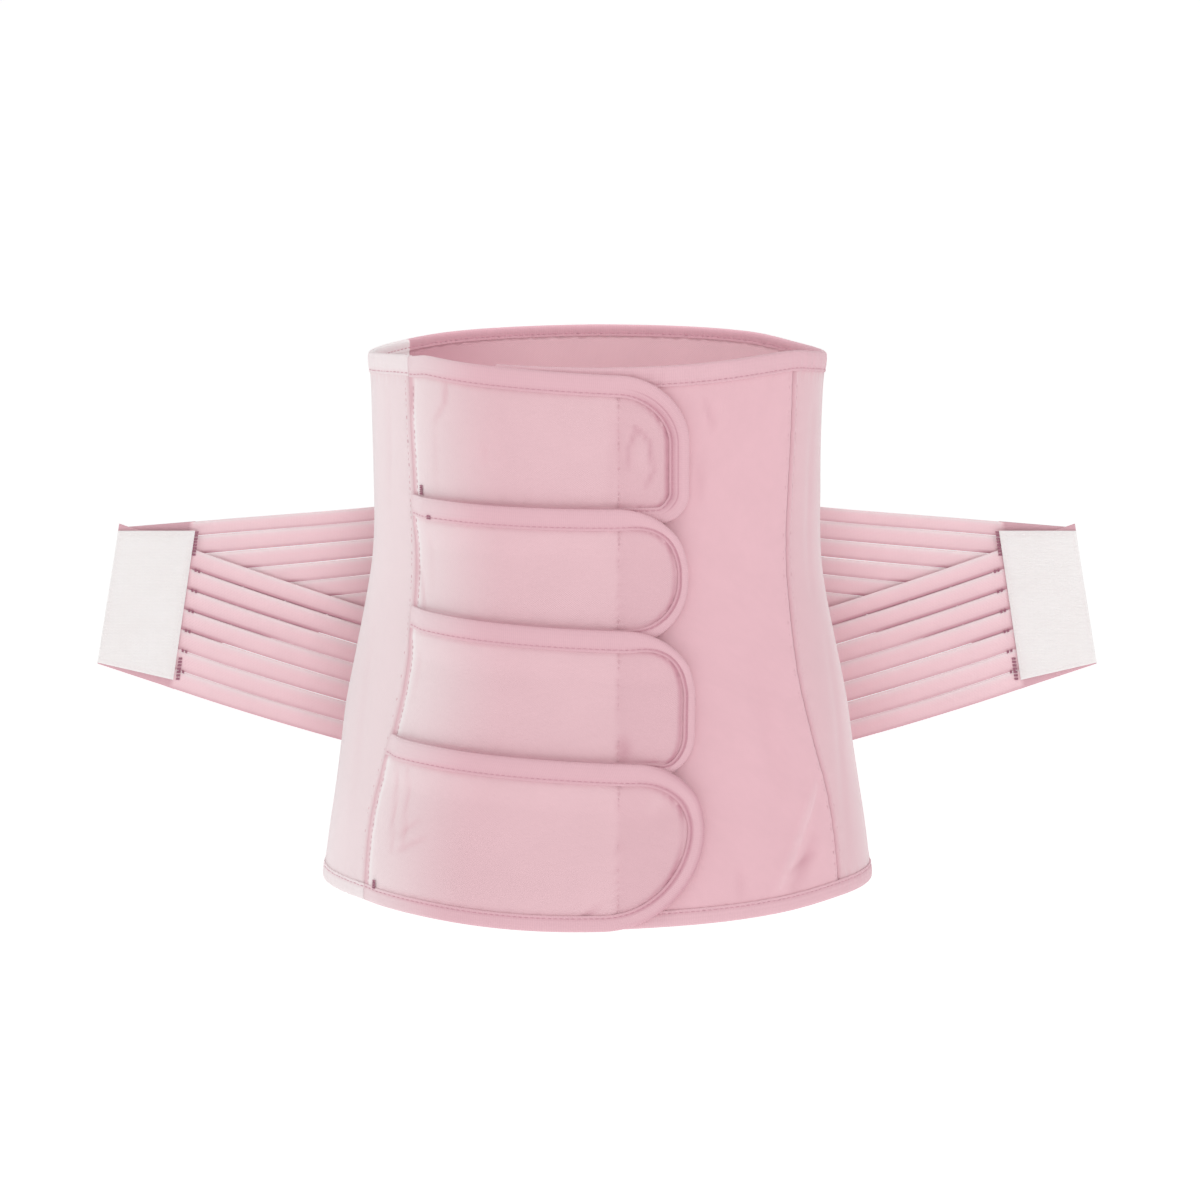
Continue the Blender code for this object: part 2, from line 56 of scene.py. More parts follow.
# Body: sizes at the inner face of the wall
WAIST_HALF_WIDTH = 0.1312
WAIST_HALF_DEPTH = 0.0845
WAIST_SHIFT = -0.002
RIM_HALF_WIDTH = 0.1336
RIM_HALF_DEPTH = 0.086
RIM_SHIFT = 0.002
HEM_HALF_WIDTH = 0.1632
HEM_HALF_DEPTH = 0.111
HEM_SHIFT = 0.004
RIM_HEIGHT = 0.0924
HEM_DROP = 0.236
RIM_WAVE = 0.006
HEM_WAVE = 0.006
FULL_TURN = 360

# Cloth and the gaps between pieces
PANEL_THICKNESS = 0.0024
STRAP_THICKNESS = 0.0018
TAPE_THICKNESS = 0.0007
GAP = 0.0004
LAY_GAP = 0.0005

# Bindings: how far the folded tape reaches in from the edge that it wraps
RIM_BINDING_WIDTH = 0.011
HEM_BINDING_WIDTH = 0.009
STRAP_BINDING_WIDTH = 0.0115

# Front closing
SEAM_TURN = 2.2
BACK_SEAM_ANGLE = 122
LANDING_HIDDEN_REACH = 0.058
STRAP_REACH = 0.055
STRAP_CORNER = 0.038
STRAP_FALL = 0.010
RIM_JOIN_TURN = 8
STRAP_OVERLAP = 0.008
OVERLAP_RAMP = 0.019
HOOK_START = 0.012
HOOK_INSET = 0.0045
HOOK_LEAST_WIDTH = 0.012
LIFT_RUN_SHARE = 0.91
NARROWING_SLOPE = 0.85

# Wings: heights are below the waist, reaches are from the middle plane
WING_ROOT_REACH = 0.060
WING_ROOT_LAP = 0.016
WING_ROOT_TOP = 0.0095
WING_ROOT_SPAN = 0.194
WING_TIP_TOP = 0.0272
WING_TIP_SPAN = 0.0873
WING_TIP_REACH = 0.291
WING_TIP_SLANT = 0.0145
WING_TIP_DEPTH = 0.064
TAB_WIDTH = 0.0463
TAB_THICKNESS = 0.0011
HOOK_PAD_THICKNESS = 0.0016
BAND_THICKNESS = 0.0013
SLIT_WIDTH = 0.0012
STRIPS = 7
SIDES = ((-1, "left"), (1, "right"))
SLIT_START = 0.006
ROOT_TAPE_WIDTH = 0.012
ROOT_TAPE_RISE = 0.004
PAD_MARGIN = 0.0011
PAD_CORNER_RISE = 0.0069
PAD_COVER = 0.0006

# Level (1 at the rim, 0 at the waist, -1 at the hem) and the share of the way from the waist's size
FLARE = (
    (-1.00, 1.00),
    (-0.93, 0.965),
    (-0.84, 0.88),
    (-0.73, 0.755),
    (-0.63, 0.65),
    (-0.52, 0.54),
    (-0.36, 0.305),
    (-0.25, 0.145),
    (-0.157, 0.04),
    (-0.08, 0.004),
    (0.00, 0.00),
    (0.30, 0.08),
    (0.65, 0.42),
    (1.00, 1.00),
)

# Angle round the body (0 front, 90 right) and the edge's rise, as a share of the wave
RIM_LINE = (
    (-180, -0.35),
    (-140, -0.5),
    (-116, -0.75),
    (-90, -0.62),
    (-70, 0.0),
    (-55, 0.38),
    (-25, 0.3),
    (0, 0.2),
    (25, 0.35),
    (57, 0.75),
    (72, 0.15),
    (90, -0.65),
    (116, -0.85),
    (138, -0.4),
    (180, -0.35),
)
HEM_LINE = (
    (-180, 0.0),
    (-110, 0.5),
    (-66, 0.8),
    (-40, 0.35),
    (-12, -0.2),
    (15, 0.0),
    (40, 0.35),
    (62, 0.8),
    (110, 0.5),
    (180, 0.0),
)

# Level and the angle of the front seams, before both are turned by SEAM_TURN
SEAM_LINE = (
    (-1.00, 59.5),
    (-0.80, 60.0),
    (-0.70, 58.9),
    (-0.57, 55.4),
    (-0.46, 53.7),
    (-0.36, 53.6),
    (-0.20, 54.9),
    (-0.06, 55.7),
    (0.22, 56.4),
    (0.60, 57.2),
    (1.00, 57.0),
)

# Strap: share of the front's height to its top edge, fall, reach, top corner, bottom corner,
# and how far the folded tape reaches in at its end
STRAPS = (
    ("strap_1", 0.0, 1.0, 0.92, 1.0, 0.45, 0.0112),
    ("strap_2", 0.245, 0.1, 0.91, 1.05, 1.0, 0.0055),
    ("strap_3", 0.4595, 0.85, 0.985, 1.0, 0.7, 0.0055),
    ("strap_4", 0.6955, 1.0, 1.09, 1.0, 1.5, 0.0078),
)

# Band: shares of the root span at its top and bottom, shares of the tip span at its top and bottom,
# and the height of its first strip as a share of the others'
WING_BANDS = (
    ("lower", 0.545, 1.0, 0.0, 1.0, 1.0),
    ("upper", 0.0, 0.383, 0.035, 0.942, 0.8),
)

# Folds of the body's cloth: angle and level of both ends, half width, rise and painted shade
BODY_FOLDS = (
    (28.0, 0.80, 30.5, 0.62, 0.0024, -0.0010, 0.22),
    (33.5, 0.82, 31.0, 0.58, 0.0024, 0.0006, 0.0),
    (26.8, 0.38, 26.8, 0.16, 0.0024, -0.0008, 0.16),
    (55.5, -0.69, 47.5, -0.815, 0.0030, 0.0024, -0.15),
    (47.5, -0.815, 41.0, -0.93, 0.0030, 0.0024, -0.15),
    (53.2, -0.82, 46.0, -0.93, 0.0040, -0.0018, 0.30),
    (53.2, -0.86, 44.0, -0.895, 0.0024, -0.0006, 0.30),
    (31.2, -0.87, 31.2, -0.94, 0.0026, -0.0010, 0.16),
    (40.0, -0.35, 44.0, -0.70, 0.0080, -0.0008, 0.06),
    (-66.0, 0.75, -67.0, 0.10, 0.0050, -0.0006, 0.05),
    (-70.0, -0.30, -66.0, -0.75, 0.0060, -0.0006, 0.05),
    (72.0, 0.60, 70.0, -0.20, 0.0060, -0.0006, 0.05),
    (74.0, -0.35, 67.0, -0.90, 0.0060, -0.0006, 0.05),
    (150.0, 0.30, 162.0, -0.25, 0.0070, 0.0008, 0.0),
    (-150.0, 0.25, -163.0, -0.30, 0.0070, 0.0008, 0.0),
    (176.0, -0.35, 170.0, -0.85, 0.0080, 0.0009, 0.0),
    (-140.0, -0.50, -150.0, -0.90, 0.0070, 0.0008, 0.0),
    (138.0, -0.45, 146.0, -0.92, 0.0070, 0.0008, 0.0),
)

# Folds of a strap: strap, place across and down of both ends as shares, half width, rise, painted shade
STRAP_FOLDS = (
    (0, 0.838, 0.333, 0.810, 0.470, 0.0014, -0.0010, 0.40),
    (0, 0.810, 0.470, 0.800, 0.630, 0.0014, -0.0008, 0.30),
    (0, 0.838, 0.333, 0.873, 0.438, 0.0014, -0.0010, 0.40),
    (0, 0.873, 0.438, 0.885, 0.637, 0.0014, -0.0010, 0.45),
    (0, 0.885, 0.637, 0.860, 0.754, 0.0014, -0.0008, 0.35),
    (0, 0.845, 0.42, 0.850, 0.62, 0.0040, 0.0009, -0.10),
    (0, 0.770, 0.20, 0.750, 0.84, 0.0030, -0.0004, 0.14),
    (0, 0.785, 0.89, 0.786, 0.90, 0.0016, -0.0004, 0.50),
    (0, 0.848, 0.885, 0.849, 0.895, 0.0016, -0.0004, 0.50),
    (0, 0.670, 0.91, 0.671, 0.92, 0.0020, -0.0004, 0.30),
    (0, 0.205, 0.15, 0.198, 0.26, 0.0018, -0.0008, 0.35),
    (0, 0.198, 0.26, 0.147, 0.39, 0.0022, -0.0008, 0.20),
    (0, 0.147, 0.39, 0.130, 0.85, 0.0030, -0.0006, 0.10),
    (0, 0.025, 0.13, 0.018, 0.34, 0.0017, -0.0006, 0.90),
    (0, 0.340, 0.50, 0.345, 0.62, 0.0022, -0.0004, 0.08),
    (1, 0.100, 0.20, 0.106, 0.74, 0.0030, -0.0006, 0.08),
    (1, 0.020, 0.52, 0.070, 0.90, 0.0026, -0.0010, 0.30),
    (1, 0.760, 0.70, 0.830, 0.76, 0.0030, 0.0006, 0.06),
    (2, 0.785, 0.73, 0.823, 0.90, 0.0030, -0.0009, 0.45),
    (2, 0.820, 0.20, 0.850, 0.50, 0.0034, 0.0006, 0.0),
    (2, 0.070, 0.25, 0.065, 0.60, 0.0026, -0.0006, 0.12),
    (3, 0.090, 0.15, 0.126, 0.66, 0.0016, -0.0008, 0.28),
    (3, 0.140, 0.15, 0.172, 0.64, 0.0016, -0.0008, 0.24),
    (3, 0.147, 0.56, 0.212, 0.446, 0.0018, -0.0006, 0.18),
    (3, 0.155, 0.65, 0.242, 0.542, 0.0018, -0.0006, 0.18),
    (3, 0.912, 0.14, 0.860, 0.28, 0.0030, 0.0006, -0.10),
    (3, 0.795, 0.86, 0.800, 0.94, 0.0030, -0.0008, 0.35),
)

# Bar tacks: strap, place across and down as shares, length
TACKS = (
    (0, 0.052, 0.862, 0.0060),
    (1, 0.130, 0.129, 0.0030),
    (3, 0.062, 0.892, 0.0055),
)
TACK_RISE = 0.0011
TACK_SPACING = 0.0006

FRONT_HEIGHT = RIM_HEIGHT + HEM_DROP
BINDING_STEP = GAP + TAPE_THICKNESS
STRAP_LIFT = PANEL_THICKNESS + 2 * BINDING_STEP + LAY_GAP
OVERLAP_LIFT = STRAP_THICKNESS + 2 * BINDING_STEP + LAY_GAP
OVERLAP_FLAT = max(STRAP_OVERLAP + 2 * BINDING_STEP, STRAP_BINDING_WIDTH) + GAP

# Place down a strip, the cloth's thickness there as a share, and its painted shade (below 0 is painted
# light): dark at the strip's lower edge, light at its upper edge
STRIP_PROFILE = (
    (0.00, 0.45, -0.35),
    (0.06, 0.85, -0.60),
    (0.20, 1.00, -0.20),
    (0.40, 1.00, 0.0),
    (0.62, 1.00, 0.04),
    (0.78, 1.00, 0.12),
    (0.91, 0.90, 0.42),
    (1.00, 0.45, 0.55),
)

# Stitches: sides of the thread, how far out a row's lifted copy lies, and for each ring of a stitch
# its place along it and its thickness, as shares, and how far it stands out, in thread radii
STITCH_SIDES = 6
OUTWARDS = 0.001
STITCH_RINGS = (
    (-0.5, 0.15, -0.9),
    (-0.43, 0.75, -0.25),
    (-0.2, 1.0, 0.45),
    (0.2, 1.0, 0.45),
    (0.43, 0.75, -0.25),
    (0.5, 0.15, -0.9),
)

# Seams and stitched lines: widths across them, and how deep the cloth is drawn in
SEAM_DIP = 0.0012
SEAM_DIP_WIDTH = 0.0020
SEAM_STITCH_INSET = 0.0042
SEAM_WELT = 0.0004
PUCKER_LENGTH = 0.0074
PUCKER_REACH = 0.0055
TOUCH = 0.00006
STITCH_INSET = 0.0017
HOOK_SEAM_WIDTH = 0.0013
HOOK_SEAM_DIP = 0.0005
END_SEAM_DIP = 0.0004
DEEPEST_RELIEF = 0.0011
GROOVE_SHARE = 0.62
PILLOW_REACH = 0.008
SEWN_REACH = 0.012
PAD_STITCH_INSET = 0.0022
PAD_EDGE_SOFTNESS = 0.0008

# Slit bands: mesh cells along them, the strips' crown and sway, and how nearly the slits close up
STRIP_LENGTH = 0.185
ROOT_COLUMNS = 7
TIP_COLUMNS = 15
STRIP_CROWN = 0.00035
STRIP_SWAY = 0.0006
SLIT_CLOSING = 0.36
SEWN_SQUEEZE = 0.35
SEWN_RUN = 0.018

# Painted shades: 1 is the deep colour of painted shade, -1 the pale colour of painted light
PAINTED_LIGHT_COLOUR = (0.89, 0.84, 0.845)
TAPE_LINE_SHADE = 0.22
STRAP_TAPE_SHADE = 0.08
# Painted light: how much the straps and their tapes are paled towards the left seam, and over what distance
STRAP_PAINTED_LIGHT = 0.58
STRAP_PAINTED_LIGHT_REACH = 0.075
END_LINE_SHADE = 0.95
# Painted light on the rim's and hem's tapes along the left side panel
EDGE_PAINTED_LIGHT = 0.8
INNER_TAPE_SHADE = 0.3
INNER_LEAF = 0.5
LEFT_SEAM_SHADE = 0.85
LEFT_SEAM_RUN = 0.0010
LEFT_SEAM_WIDTH = 0.0019
LEFT_WELT_SHADE = 0.35
LEFT_WELT_RUN = 0.0052
LEFT_WELT_WIDTH = 0.0018
SEAM_SHADE = 0.40
HOOK_AREA_SHADE = 0.20
HOOK_LINE_SHADE = 0.25
INNER_SEAM_SHADE = 0.20
PAD_LINE_SHADE = 0.10
ROOT_LINE_SHADE = 0.2
SEAM_SHADE_WIDTH = 0.0018
INSIDE_FADE = 0.11

# Panel, the painted shade of its outer face, and of its inner face at its first side and well away from it;
# below 0 is painted light, as on the left side, paled outside and in as if lit from the left, and the back's
# inner face gets a painted shade in the hollow near its left seam
PANEL_SHADES = (
    ("left_side", -0.56, -1.0, -1.0),
    ("back", 0.0, 0.75, 0.0),
    ("right_side", 0.06, -0.15, -0.15),
    ("landing", 0.03, 0.0, 0.0),
)
TIP_MARGIN_SHADE = 0.60
SLIT_OVER_SHADE = 0.5
SLIT_END_SHADE = 0.6

# Painted shades at each strap's end: the seam inside its tape, the tape's outer edge and its middle line
END_SHADES = (
    (1.00, 0.10, 0.85),
    (0.80, 0.10, 0.0),
    (1.00, 0.15, 0.0),
    (1.00, 0.70, 0.0),
)

SETTLING_PASSES = 5
SHARP_ANGLE = 42

# Camera and stage
CAMERA_SPOT = (0.0018, -4.0, 0.774)
CAMERA_TARGET = (0.0018, 0.0, -0.0616)
LENS = 204

# Light, its place, size and power
LIGHTS = (
    ("key_left", (-2.6, -1.5, 1.2), 1.6, 8),
    ("rim_left", (-2.2, 1.6, 0.8), 1.4, 13),
    ("front_fill", (0.6, -3.2, 1.6), 1.8, 11),
    ("top_fill", (0.2, -1.2, 2.6), 0.9, 8),
    ("right_fill", (2.4, -1.6, 0.9), 1.4, 9),
)
FLOOR_DEPTH = 0.95
FLOOR_SIZE = 60


def length_property(name, description, default):
    return bpy.props.FloatProperty(name=name, description=description, default=default, unit="LENGTH")


def colour_property(name, description, default):
    return bpy.props.FloatVectorProperty(
        name=name, description=description, default=default, subtype="COLOR", min=0.0, max=1.0
    )


class BeltSizes(bpy.types.PropertyGroup):
    """Fineness and soft forms of the cloth."""

    cloth_step: length_property("Cloth step", "Size of a cell of the cloth's mesh", 0.0024)
    tape_step: length_property("Tape step", "Distance between a tape's sections", 0.0018)
    drape: length_property("Drape", "Slow unevenness of the worn cloth", 0.0005)
    pucker: length_property("Pucker", "Rise of the gathers beside a stitched line", 0.00022)
    pillow: length_property("Pillow", "How far the straps' cloth swells inside its binding", 0.0009)
    stitch_length: length_property("Stitch length", "Length of thread that shows", 0.0025)
    stitch_gap: length_property("Stitch gap", "Cloth between two stitches", 0.0010)
    thread_radius: length_property("Thread radius", "Radius of the sewing thread", 0.00022)


class BeltColours(bpy.types.PropertyGroup):
    """Colours of the belt's cloths and threads."""

    cloth: colour_property("Cloth", "Knit of the panels and straps", (0.75, 0.485, 0.53))
    # The colour that painted shade mixes into every cloth, in folds, seams, slits and the hollow
    cloth_painted_shade: colour_property("Cloth shade", "Knit in its folds and seams", (0.56, 0.27, 0.33))
    loop: colour_property("Loop cloth", "Brushed face of the landing panel", (0.775, 0.475, 0.53))
    tape: colour_property("Tape", "Fold-over binding", (0.745, 0.46, 0.515))
    elastic: colour_property("Elastic", "Slit bands of the wings", (0.90, 0.635, 0.68))
    hook: colour_property("Hook tape", "White pads at the wings' ends", (1.0, 0.955, 0.945))
    thread: colour_property("Thread", "Sewing thread", (0.60, 0.30, 0.37))
    soft_thread: colour_property("Soft thread", "Thread that nearly matches the cloth", (0.68, 0.41, 0.46))
    tack: colour_property("Tack thread", "Darker thread of the bar tacks", (0.42, 0.17, 0.24))
    floor: colour_property("Floor", "Pale studio floor", (0.95, 0.95, 0.95))


# Curves and surfaces, on numpy arrays


def along(rows, x):
    """The values at x of a smooth line through the table's rows."""
    xs, ys = np.array(rows, float).T
    before = np.r_[0, np.arange(len(xs) - 1)]
    after = np.r_[np.arange(1, len(xs)), len(xs) - 1]
    slopes = (ys[after] - ys[before]) / (xs[after] - xs[before])
    x = np.clip(x, xs[0], xs[-1])
    i = np.clip(np.searchsorted(xs, x, side="right") - 1, 0, len(xs) - 2)
    h = xs[i + 1] - xs[i]
    t = (x - xs[i]) / h
    rise = t * t * (3 - 2 * t)
    bend = slopes[i] * (t - 2 * t**2 + t**3) + slopes[i + 1] * (t**3 - t**2)
    return ys[i] + (ys[i + 1] - ys[i]) * rise + h * bend


def mix(a, b, share):
    return a + (b - a) * share


def ease(share):
    share = np.clip(share, 0.0, 1.0)
    return share * share * (3 - 2 * share)


def bell(distance, width):
    """1 on the line, falling to nothing a few widths away."""
    return np.exp(-((distance / width) ** 2))


def level_of(height):
    return np.where(height > 0, height / RIM_HEIGHT, height / HEM_DROP)


def body_section(height):
    """Half width, half depth and backward shift of the inner face at each height."""
    share = along(FLARE, level_of(height))
    sizes = (
        (WAIST_HALF_WIDTH, RIM_HALF_WIDTH, HEM_HALF_WIDTH),
        (WAIST_HALF_DEPTH, RIM_HALF_DEPTH, HEM_HALF_DEPTH),
        (WAIST_SHIFT, RIM_SHIFT, HEM_SHIFT),
    )
    return [mix(waist, np.where(height > 0, rim, hem), share) for waist, rim, hem in sizes]


def fold_share(x, y, ends, width):
    """1 on a fold between two points of a flat pattern, fading beside it and beyond its ends."""
    x0, y0, x1, y1 = ends
    run_x, run_y = x1 - x0, y1 - y0
    t = np.clip(((x - x0) * run_x + (y - y0) * run_y) / (run_x**2 + run_y**2), 0, 1)
    distance = np.hypot(x - x0 - t * run_x, y - y0 - t * run_y)
    return bell(distance, width) * (0.45 + 0.55 * np.sin(np.pi * np.clip(t, 0.05, 0.95)))


def wrapped(angle):
    return (angle + FULL_TURN / 2) % FULL_TURN - FULL_TURN / 2


def height_of(level):
    return level * RIM_HEIGHT if level > 0 else level * HEM_DROP


def body_folds(angle, height):
    """Rise and painted shade of the body's folds."""
    flat_x = np.radians(wrapped(np.asarray(angle, float))) * WAIST_HALF_WIDTH
    rise, shade = 0.0, 0.0
    for angle_0, level_0, angle_1, level_1, width, height_of_fold, tone in BODY_FOLDS:
        ends = (
            math.radians(angle_0) * WAIST_HALF_WIDTH,
            height_of(level_0),
            math.radians(angle_1) * WAIST_HALF_WIDTH,
            height_of(level_1),
        )
        here = fold_share(flat_x, height, ends, width)
        rise, shade = rise + height_of_fold * here, shade + tone * here
    return rise, shade


def drape(angle, height):
    """Slow unevenness and folds that all the layers share."""
    turn = np.radians(angle)
    amount = bpy.context.scene.belt_sizes.drape
    slow = np.sin(3 * turn + 21 * height + 1.1) + 0.6 * np.sin(7 * turn - 34 * height + 2.3)
    slow = slow + 0.4 * np.sin(5 * turn + 71 * height + 0.4) + 0.25 * np.sin(13 * turn + 48 * height)
    return amount * slow / 2 + body_folds(angle, height)[0]


def body_point(angle, height, offset):
    """Points at these angles and heights, offset outwards from the inner face."""
    half_width, half_depth, shift = body_section(height)
    turn = np.radians(angle)
    out = offset + drape(angle, height)
    x = (half_width + out) * np.sin(turn)
    y = shift - (half_depth + out) * np.cos(turn)
    return np.stack(np.broadcast_arrays(x, y, height), -1)


def angle_at(reach, height):
    return np.degrees(np.arcsin(reach / body_section(height)[0]))


def angle_of(length, height):
    return np.degrees(length / body_section(height)[0])


def rim_height(angle):
    return RIM_HEIGHT + RIM_WAVE * along(RIM_LINE, wrapped(angle))


def hem_height(angle):
    return -HEM_DROP + HEM_WAVE * along(HEM_LINE, wrapped(angle))


def left_seam(height):
    return SEAM_TURN - along(SEAM_LINE, level_of(height))


def right_seam(height):
    return SEAM_TURN + along(SEAM_LINE, level_of(height))


def cosine_steps(count):
    """Shares from 0 to 1, closer together at both ends."""
    return (1 - np.cos(np.pi * np.arange(count + 1) / count)) / 2


def edge_steps(count, crowding=0.6):
    """Shares from 0 to 1, somewhat closer together at both ends."""
    even = np.arange(count + 1) / count
    return mix(even, cosine_steps(count), crowding)


def pucker_wave(run, distance):
    """Gathers along a stitched line, strongest beside it."""
    amount = bpy.context.scene.belt_sizes.pucker
    phase = 2 * np.pi * run / PUCKER_LENGTH
    wave = np.sin(phase + 0.9 * np.sin(phase * 0.37)) + 0.5 * np.sin(phase * 0.53 + 1.0)
    return amount * wave * bell(distance, PUCKER_REACH)


# Meshes


def wall(inner, outer, is_open=None):
    """Points and faces of the closed wall between two grids of points."""
    rows, columns = inner.shape[:2]
    count = rows * columns
    index = np.arange(count).reshape(rows, columns)
    kept = np.ones((rows - 1, columns - 1), bool) if is_open is None else ~is_open
    around = np.pad(kept, 1)
    a, b, c, d = index[:-1, :-1], index[:-1, 1:], index[1:, 1:], index[1:, :-1]
    quads = np.stack((a, b, c, d), -1)[kept]
    faces = [quads, quads[:, ::-1] + count]
    sides = (
        (a, b, around[:-2, 1:-1]),
        (b, c, around[1:-1, 2:]),
        (c, d, around[2:, 1:-1]),
        (d, a, around[1:-1, :-2]),
    )
    for first, second, beyond in sides:
        edge = kept & ~beyond
        start, stop = first[edge], second[edge]
        faces.append(np.stack((stop, start, start + count, stop + count), -1))
    points = np.concatenate([inner.reshape(-1, 3), outer.reshape(-1, 3)])
    return points, np.concatenate(faces).tolist()


def tube(rings):
    """Points and faces of the closed solid through a row of like rings."""
    stations, count = rings.shape[:2]
    index = np.arange(stations * count).reshape(stations, count)
    nearby = np.roll(index, -1, axis=1)
    quads = np.stack((index[:-1], nearby[:-1], nearby[1:], index[1:]), -1).reshape(-1, 4)
    caps = [index[0][::-1].tolist(), index[-1].tolist()]
    return rings.reshape(-1, 3), quads.tolist() + caps


def surface_size(grid):
    """Mean width, mean length and area of a grid of points."""
    steps_across = np.linalg.norm(np.diff(grid, axis=1), axis=2)
    steps_down = np.linalg.norm(np.diff(grid, axis=0), axis=2)
    width, length = steps_across.sum(1).mean(), steps_down.sum(0).mean()
    diagonals = np.cross(grid[1:, 1:] - grid[:-1, :-1], grid[1:, :-1] - grid[:-1, 1:])
    return float(width), float(length), float(np.linalg.norm(diagonals, axis=2).sum() / 2)


def add_piece(name, shape, look, cloth, shade, nodes=()):
    """Makes the object, with its normals out, its pattern attributes and its place in the frame."""
    points, faces = shape
    mesh = bpy.data.meshes.new(name)
    mesh.from_pydata(points.tolist(), [], faces)
    mesh.calc_loop_triangles()
    corners = np.empty(len(mesh.loop_triangles) * 3, np.int32)
    mesh.loop_triangles.foreach_get("vertices", corners)
    if np.linalg.det(points[corners.reshape(-1, 3)]).sum() < 0:
        mesh.flip_normals()
    mesh.shade_smooth()
    mesh.set_sharp_from_angle(angle=math.radians(SHARP_ANGLE))
    pattern = mesh.attributes.new("cloth", "FLOAT_VECTOR", "POINT")
    pattern.data.foreach_set("vector", np.ascontiguousarray(cloth, np.float32).ravel())
    tone = mesh.attributes.new("shade", "FLOAT", "POINT")
    tone.data.foreach_set("value", np.ascontiguousarray(shade, np.float32).ravel())
    mesh.materials.append(look)
    piece = bpy.data.objects.new(name, mesh)
    bpy.context.scene.collection.objects.link(piece)
    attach(piece, BODY)
    if nodes:
        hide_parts(*nodes)
    return piece


def pattern_of(u, v):
    """The cloth attribute of a grid: metres along, metres down, nothing."""
    return np.stack(np.broadcast_arrays(u, v, np.zeros_like(u)), -1)


def add_wall(name, faces, pattern, shades, look, node, is_open=None):
    """A sheet of cloth as a closed wall; the size it was cut to is worked out but not used.

    faces are its inner and outer grids of points, pattern its metres along and down, and shades the
    painted tones of the two faces.
    """
    inner, outer = faces
    u, v = pattern
    cloth = pattern_of(u, v).reshape(-1, 3)
    tone = np.concatenate([np.broadcast_to(side, u.shape).reshape(-1) for side in shades])
    shape = wall(inner, outer, is_open)
    piece = add_piece(name, shape, looks()[look], np.tile(cloth, (2, 1)), tone, [node])
    width, length, area = surface_size(mix(inner, outer, 0.5))
    if is_open is not None:
        area *= float((~is_open).mean())


# Shaders


class Value:
    """A socket in an expression: operators add Math nodes."""

    def __init__(self, finish, socket):
        self.finish = finish
        self.socket = socket

    def maths(self, operation, first, second=0.0):
        return self.finish.node("Math", {"operation": operation}, {0: first, 1: second})

    def __add__(self, other):
        return self.maths("ADD", self, other)

    __radd__ = __add__

    def __sub__(self, other):
        return self.maths("SUBTRACT", self, other)

    def __rsub__(self, other):
        return self.maths("SUBTRACT", other, self)

    def __mul__(self, other):
        return self.maths("MULTIPLY", self, other)

    __rmul__ = __mul__

    def __truediv__(self, other):
        return self.maths("DIVIDE", self, other)

    def sine(self):
        return self.maths("SINE", self)

    def size(self):
        return self.maths("ABSOLUTE", self)


class Finish:
    """A cloth material: node() adds a node, and wave() a ripple along a pattern coordinate."""

    def __init__(self, name, roughness, sheen):
        self.material = bpy.data.materials.new(name)
        self.material.use_nodes = True
        self.tree = self.material.node_tree
        self.shader = self.tree.nodes["Principled BSDF"]
        self.shader.inputs["Roughness"].default_value = roughness
        self.shader.inputs["Specular IOR Level"].default_value = 0.25
        self.shader.inputs["Sheen Weight"].default_value = sheen
        self.shader.inputs["Sheen Roughness"].default_value = 0.45
        self.cloth = self.node("Attribute", {"attribute_name": "cloth"}, output="Vector")
        self.u = self.node("SeparateXYZ", {}, {0: self.cloth}, output="X")
        self.v = self.node("SeparateXYZ", {}, {0: self.cloth}, output="Y")
        self.shade = self.node("Attribute", {"attribute_name": "shade"}, output="Fac")

    def node(self, kind, settings=None, inputs=None, output=0):
        made = self.tree.nodes.new("ShaderNode" + kind)
        for key, value in (settings or {}).items():
            setattr(made, key, value)
        for key, value in (inputs or {}).items():
            self.feed(made.inputs[key], value)
        return Value(self, made.outputs[output])

    def feed(self, socket, value):
        if isinstance(value, Value):
            self.tree.links.new(value.socket, socket)
        else:
            socket.default_value = value

    def wave(self, coordinate, pitch):
        return (coordinate * (2 * math.pi / pitch)).sine()

    def noise(self, size, detail=2.0):
        return self.node("TexNoise", {}, {"Vector": self.cloth, "Scale": 1 / size, "Detail": detail})

    def mixed(self, factor, first, second):
        settings = {"data_type": "RGBA", "clamp_factor": True}
        return self.node("Mix", settings, {0: factor, 6: first, 7: second}, output=2)

    def colour(self, base, deep, grain):
        """Base colour with the grain's light and dark, broad unevenness, the painted shade and the painted
        light.
        """
        pale = [min(1.0, channel * 1.05 + 0.015) for channel in base] + [1]
        dark = [channel * 0.93 for channel in base] + [1]
        toned = self.mixed(grain * 0.5 + self.noise(0.028) * 0.5, dark, pale)
        shaded = self.mixed(self.shade, toned, [*deep, 1])
        return self.mixed(self.shade * -1.0, shaded, [*PAINTED_LIGHT_COLOUR, 1])

    def finish(self, colour, height, depth, roughness):
        self.feed(self.shader.inputs["Base Color"], colour)
        self.feed(self.shader.inputs["Roughness"], roughness)
        bump = self.node("Bump", {}, {"Strength": 0.7, "Distance": depth, "Height": height})
        self.feed(self.shader.inputs["Normal"], bump)
        return self.material


LOOKS = {}


